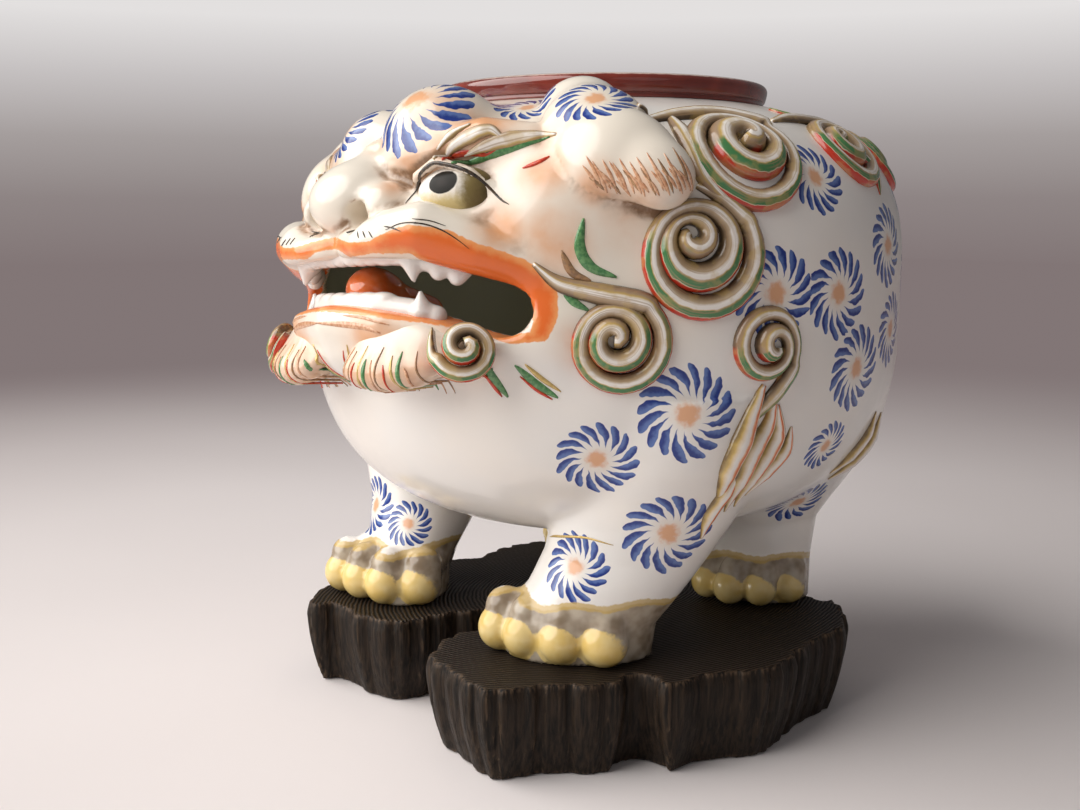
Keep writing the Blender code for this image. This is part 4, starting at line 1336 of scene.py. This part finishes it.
def build_brow_locks(material):
    brow = Sweep(LOCK_SECTION, LOCK_SINK)
    for places, widths in (
        ([(18.5, 198.5), (20.6, 202.6), (23.6, 205.6), (26.5, 207.2), (29.0, 204.4)], [1, 4, 5, 4, 1]),
        ([(22.0, 199.6), (26.0, 202.4), (30.0, 204.4), (34.0, 205.4), (38.0, 205.6)], [1, 4, 5, 3.5, 1]),
        ([(17.6, 201.5), (19.8, 206.0), (22.8, 209.2)], [1, 3, 1]),
    ):
        lock(brow, places, widths, 1.1, face=True, under=-1.0, spread=0.55)
    brow.piece("brow_locks", material, "buff_glaze", *both_sides("brow"))


def build_tail(material):
    tail = Sweep(LOCK_SECTION, 4)
    curl(tail, (168, 150), 13, 2.0, 1, -70, (0, 0), [(6, -34), (6, -24), (4, -16)], [3, 8, 9], 4.5)
    lock(
        tail, [(180, 108), (179.9, 126), (180.1, 146), (180, 170), (179.9, 188)], [6, 14, 15, 11, 1], 6.0,
        sides=(1,),
    )
    lock(tail, [(176, 110), (170, 116), (163, 126), (158, 138)], [4, 9, 8, 1], 4.5)
    tail.piece("tail_locks", material, "green_enamel", "tail")


# ---- brush strokes ---------------------------------------------------------------------------------------


def build_strokes():
    red, green, gold, brown, tan, black = (Sweep(STROKE_SECTION, 0.5) for _ in range(6))
    # the brow
    for places, width in (
        ([(20, 198), (20.5, 199.7), (23.4, 200.3), (25.6, 199.6), (27.8, 201.7)], 2.6),
        ([(32.8, 195.4), (35.2, 197.1), (37.1, 198.9)], 1.8),
    ):
        brush(red, places, width, height=0.5)
    brush(green, [(21.5, 197.2), (23.7, 198.0), (28.3, 200.6), (32.6, 203.0), (36.9, 205)], 3.4, height=0.5)
    brush(gold, [(23.4, 204.7), (25, 206.2), (26.6, 207.1), (29.1, 204)], 2.4, height=0.4)
    # leaves between the mouth and the mane
    for sweep, places, width in (
        (green, [(42.9, 180.5), (42.4, 172), (44.1, 166.1), (48, 163)], 4.2),
        (brown, [(39.6, 171), (41.2, 164.5), (44.1, 161.9)], 3.2),
        (green, [(39.4, 162), (41.2, 156.2), (43.8, 153)], 3.2),
        (green, [(27.2, 140.1), (28.2, 132.7), (30.6, 125.6)], 4.0),
        (red, [(27.0, 134), (28.4, 129), (29.6, 125.6)], 1.6),
        (green, [(32.4, 136.2), (35.5, 130.3), (38.9, 126.0)], 3.4),
        (red, [(33.0, 132.6), (35.5, 128.4), (38.0, 125.4)], 1.4),
        (gold, [(34.0, 136.6), (36.5, 132.0), (39.4, 128.0)], 2.0),
    ):
        brush(sweep, places, width, height=0.5)
    # eyeliner
    brush(
        black,
        [
            (13.4, 185.0), (14.9, 192.2), (17.0, 196.0), (19.6, 197.2), (24.8, 194.2), (29.4, 186.6),
            (31.2, 184.6),
        ],
        1.4,
    )
    # wrinkles over the cheek
    brush(
        black, [(14.6, 177.0), (17.0, 179.0), (19.8, 179.0), (22.4, 177.2), (24.6, 174.4), (26.4, 171.4)],
        0.55,
    )
    brush(black, [(18.6, 180.4), (20.8, 179.8), (23.0, 178.2)], 0.45)
    # whiskers
    for places in (
        [(9.0, 176.4), (9.5, 174.4)], [(10.2, 176.6), (10.9, 174.6)], [(11.5, 176.6), (12.4, 174.6)],
        [(14.2, 178.1), (15.6, 177.6), (17.0, 176.6)], [(7.8, 177.6), (6.6, 176.6), (5.6, 175.7)],
        [(8.3, 178.6), (6.9, 177.3), (5.2, 175.9)],
    ):
        brush(black, places, 0.65)
    # the fold of the chin, and the gold line round the wrist
    brush(tan, [(0.6, 147.0), (6.0, 147.2), (9.8, 146.8), (12.7, 145.2)], 2.6, height=0.15)
    brush(tan, [(5.6, 150.0), (10.0, 149.6), (14.0, 147.8)], 1.2, height=0.15)
    brush(gold, [(33.4, 73.4), (35.8, 74.9), (42.5, 76.9), (48.4, 75.5)], 1.1, face=False, sides=(1,))
    # combed hair of the beard
    colours, widths = (red, gold, green, tan, brown), (0.9, 1.4, 1.8, 1.1, 0.9)
    for index, azimuth in enumerate(np.linspace(4.5, 19.5, 15)):
        bend = (azimuth - 12) * 0.2 + 0.3 * math.sin(index * 1.9)
        top = 138.5 + 2.8 * math.sin(index * 2.3)
        places = [
            (azimuth, top), (azimuth + bend * 0.5, 133), (azimuth + bend, 126.5 + math.sin(index * 1.3)),
        ]
        brush(colours[index % 5], places, widths[index % 5], height=0.3)
    # ears: hair brushed up from the edge
    for index in range(30):
        azimuth = 45.0 + index * 0.48
        base = 187.6 + 0.9 * math.sin(index * 1.7) + 0.008 * (index - 15) ** 2
        rise = 6.5 + 3.0 * math.sin(index * 2.4) + 0.08 * index
        sweep = brown if index % 5 == 2 else tan
        brush(
            sweep, [(azimuth, base), (azimuth - 0.9, base + rise * 0.5), (azimuth - 2.2, base + rise)], 1.4,
            height=0.12,
        )
    for sweep, name, slot, *looks in (
        (red, "red", "orange_enamel", RED, (0.66, 0.07, 0.02)),
        (green, "green", "green_enamel", GREEN, (0.14, 0.32, 0.12)),
        (gold, "gold", "gold_enamel", GOLD, (0.66, 0.48, 0.18), 0.22, 0.35),
        (brown, "brown", "gold_enamel", BROWN, (0.40, 0.22, 0.10)),
        (tan, "tan", "gold_enamel", (0.52, 0.24, 0.12), (0.70, 0.42, 0.26)),
        (black, "black", "gold_enamel", BLACK, (0.08, 0.05, 0.03)),
    ):
        sweep.piece(f"{name}_strokes", enamel(f"{name}_enamel", *looks), slot)


def build_beard(material, mane_material):
    cell = 1.0
    verts, faces = surface_net(beard_field, (-66, -142, 114), (66, -70, 158), cell)
    beard = mesh_piece("beard_fringe_hair", verts, faces, material)
    everywhere, height = np.ones(len(verts)), verts[:, 2]
    unpainted = UNPAINTED * everywhere
    # the fringe is painted browner towards its bottom and peach lower down
    point_values(
        beard, cream=everywhere, lips=unpainted, inside=0 * everywhere, claw=unpainted, paw=unpainted,
        wash=0.5 * np.clip((128 - height) / 6, 0, 1), blush=np.clip((150 - height) / 14, 0, 1) * 0.6,
    )
    off_whorls = np.full(len(beard.data.loops) * 2, UNPAINTED)
    beard.data.uv_layers.new(name="whorl").data.foreach_set("uv", off_whorls)
    placed(beard, "buff_glaze", "beard_fringe")
    curls = Sweep(LOCK_SECTION, LOCK_SINK)
    curl(
        curls, (26.2, 141), 8.4, 1.7, 1, 215, (0, 0), [(-11.5, 6), (-10.8, 1), (-9.4, -3.5)], [0.6, 2, 3.4],
        2.8, relief=4.0, face=True,
    )
    curls.piece("beard_curls", mane_material, "green_enamel", *both_sides("beard_curl"))


# ---- camera, light and floor -----------------------------------------------------------------------------

CAMERA_PLACE = (347.9, -338.9, 182.5)
CAMERA_TARGET = (-11.5, -22.1, 107.7)
CAMERA_LENS = 41.3
LIGHT_TARGET = (0, 0, 0.12)


def aimed(name, data, place, target):
    """An object for a camera or a light, put at its place and turned to its target, in metres."""
    holder = bpy.data.objects.new(name, data)
    bpy.context.scene.collection.objects.link(holder)
    holder.location = place
    holder.rotation_euler = (Vector(target) - Vector(place)).to_track_quat("-Z", "Y").to_euler()
    return holder


def build_camera():
    camera = bpy.data.cameras.new("camera")
    camera.lens = CAMERA_LENS
    camera.sensor_width = 36.0
    bpy.context.scene.camera = aimed(
        "camera", camera, Vector(CAMERA_PLACE) * MM, Vector(CAMERA_TARGET) * MM,
    )


def area_light(name, place, size, power, colour=(1, 1, 1)):
    light = bpy.data.lights.new(name, "AREA")
    light.shape = "DISK"
    light.size = size
    light.energy = power
    light.color = colour
    aimed(name, light, place, LIGHT_TARGET)


HORIZON = (0.222, 0.181, 0.181)
BACKDROP = (
    (0.0, HORIZON), (0.27, (0.27, 0.232, 0.230)), (0.516, (0.376, 0.342, 0.337)),
    (0.758, (0.558, 0.53, 0.53)), (1.0, (0.767, 0.745, 0.74)),
)
BACKDROP_FROM = -0.04
BACKDROP_TO = 0.146
FLOOR_PALE_TO = 0.15
FLOOR_LOST_AT = 1.15


def build_floor():
    """A pale floor that fades into the horizon with distance."""
    floor = bmesh.new()
    bmesh.ops.create_grid(floor, x_segments=1, y_segments=1, size=4.0)
    mesh = bpy.data.meshes.new("floor")
    floor.to_mesh(mesh)
    floor.free()
    obj = bpy.data.objects.new("floor", mesh)
    obj.location.z = -0.0003
    bpy.context.scene.collection.objects.link(obj)
    shade = Shade("pale_floor")
    pale = shade.mix(shade.cloud(3.0, 2, 0.3, 0.7), (0.74, 0.69, 0.685), (0.78, 0.73, 0.725))
    away = shade.value("VectorMath", {0: shade.position()}, output="Value", operation="LENGTH")
    glowing = shade.value("Emission", {"Color": HORIZON})
    mesh.materials.append(shade.finish(pale, 0.6))
    shade.cover(glowing, shade.step(away, FLOOR_PALE_TO, FLOOR_LOST_AT))


def build_world():
    """An even light all round, and a backdrop that only the camera sees, paler towards its top."""
    sky = Shade("world", "worlds", "Background")
    sky.feed(sky.shader.inputs["Color"], (0.55, 0.525, 0.53))
    sky.feed(sky.shader.inputs["Strength"], 0.29)
    way = sky.value("TexCoord", output="Generated")
    rise = sky.value("SeparateXYZ", {0: way}, output=2)
    share = sky.value("MapRange", {"Value": rise, "From Min": BACKDROP_FROM, "From Max": BACKDROP_TO})
    backdrop = sky.value("Background", {"Color": sky.ramp(share, *BACKDROP)})
    seen = sky.value("LightPath", output="Is Camera Ray")
    sky.cover(backdrop, seen)
    bpy.context.scene.world = sky.owner


porcelain, striped = porcelain_material(), lock_material()
build_body(porcelain)
build_beard(porcelain, striped)
build_mane(striped)
warm = warm_material()
build_tufts(warm)
build_brow_locks(striped)
build_tail(striped)
build_strokes()
build_eyes(eye_material())
teeth = tooth_material()
net_piece(
    "upper_tooth_row", upper_teeth_field, (-56, -122, 152), (56, -88, 176), 0.8, teeth, "white_glaze",
    "upper_teeth",
)
net_piece(
    "lower_tooth_row", lower_teeth_field, (-44, -126, 140), (44, -98, 164), 0.8, teeth, "white_glaze",
    "lower_teeth",
)
net_piece(
    "glazed_tongue", tongue_field, (-24, -122, 138), (16, -72, 172), 1.0, tongue_material(),
    "orange_enamel", "tongue",
)
build_collar(collar_material())
build_stand(wood_material())
build_camera()
build_floor()
build_world()
area_light("key", (-0.65, -1.27, 1.15), size=2.6, power=66, colour=(1.0, 0.975, 0.94))
area_light("fill", (1.2, -0.4, 0.6), size=0.9, power=0.6)
bpy.context.scene.view_settings.view_transform = "Standard"
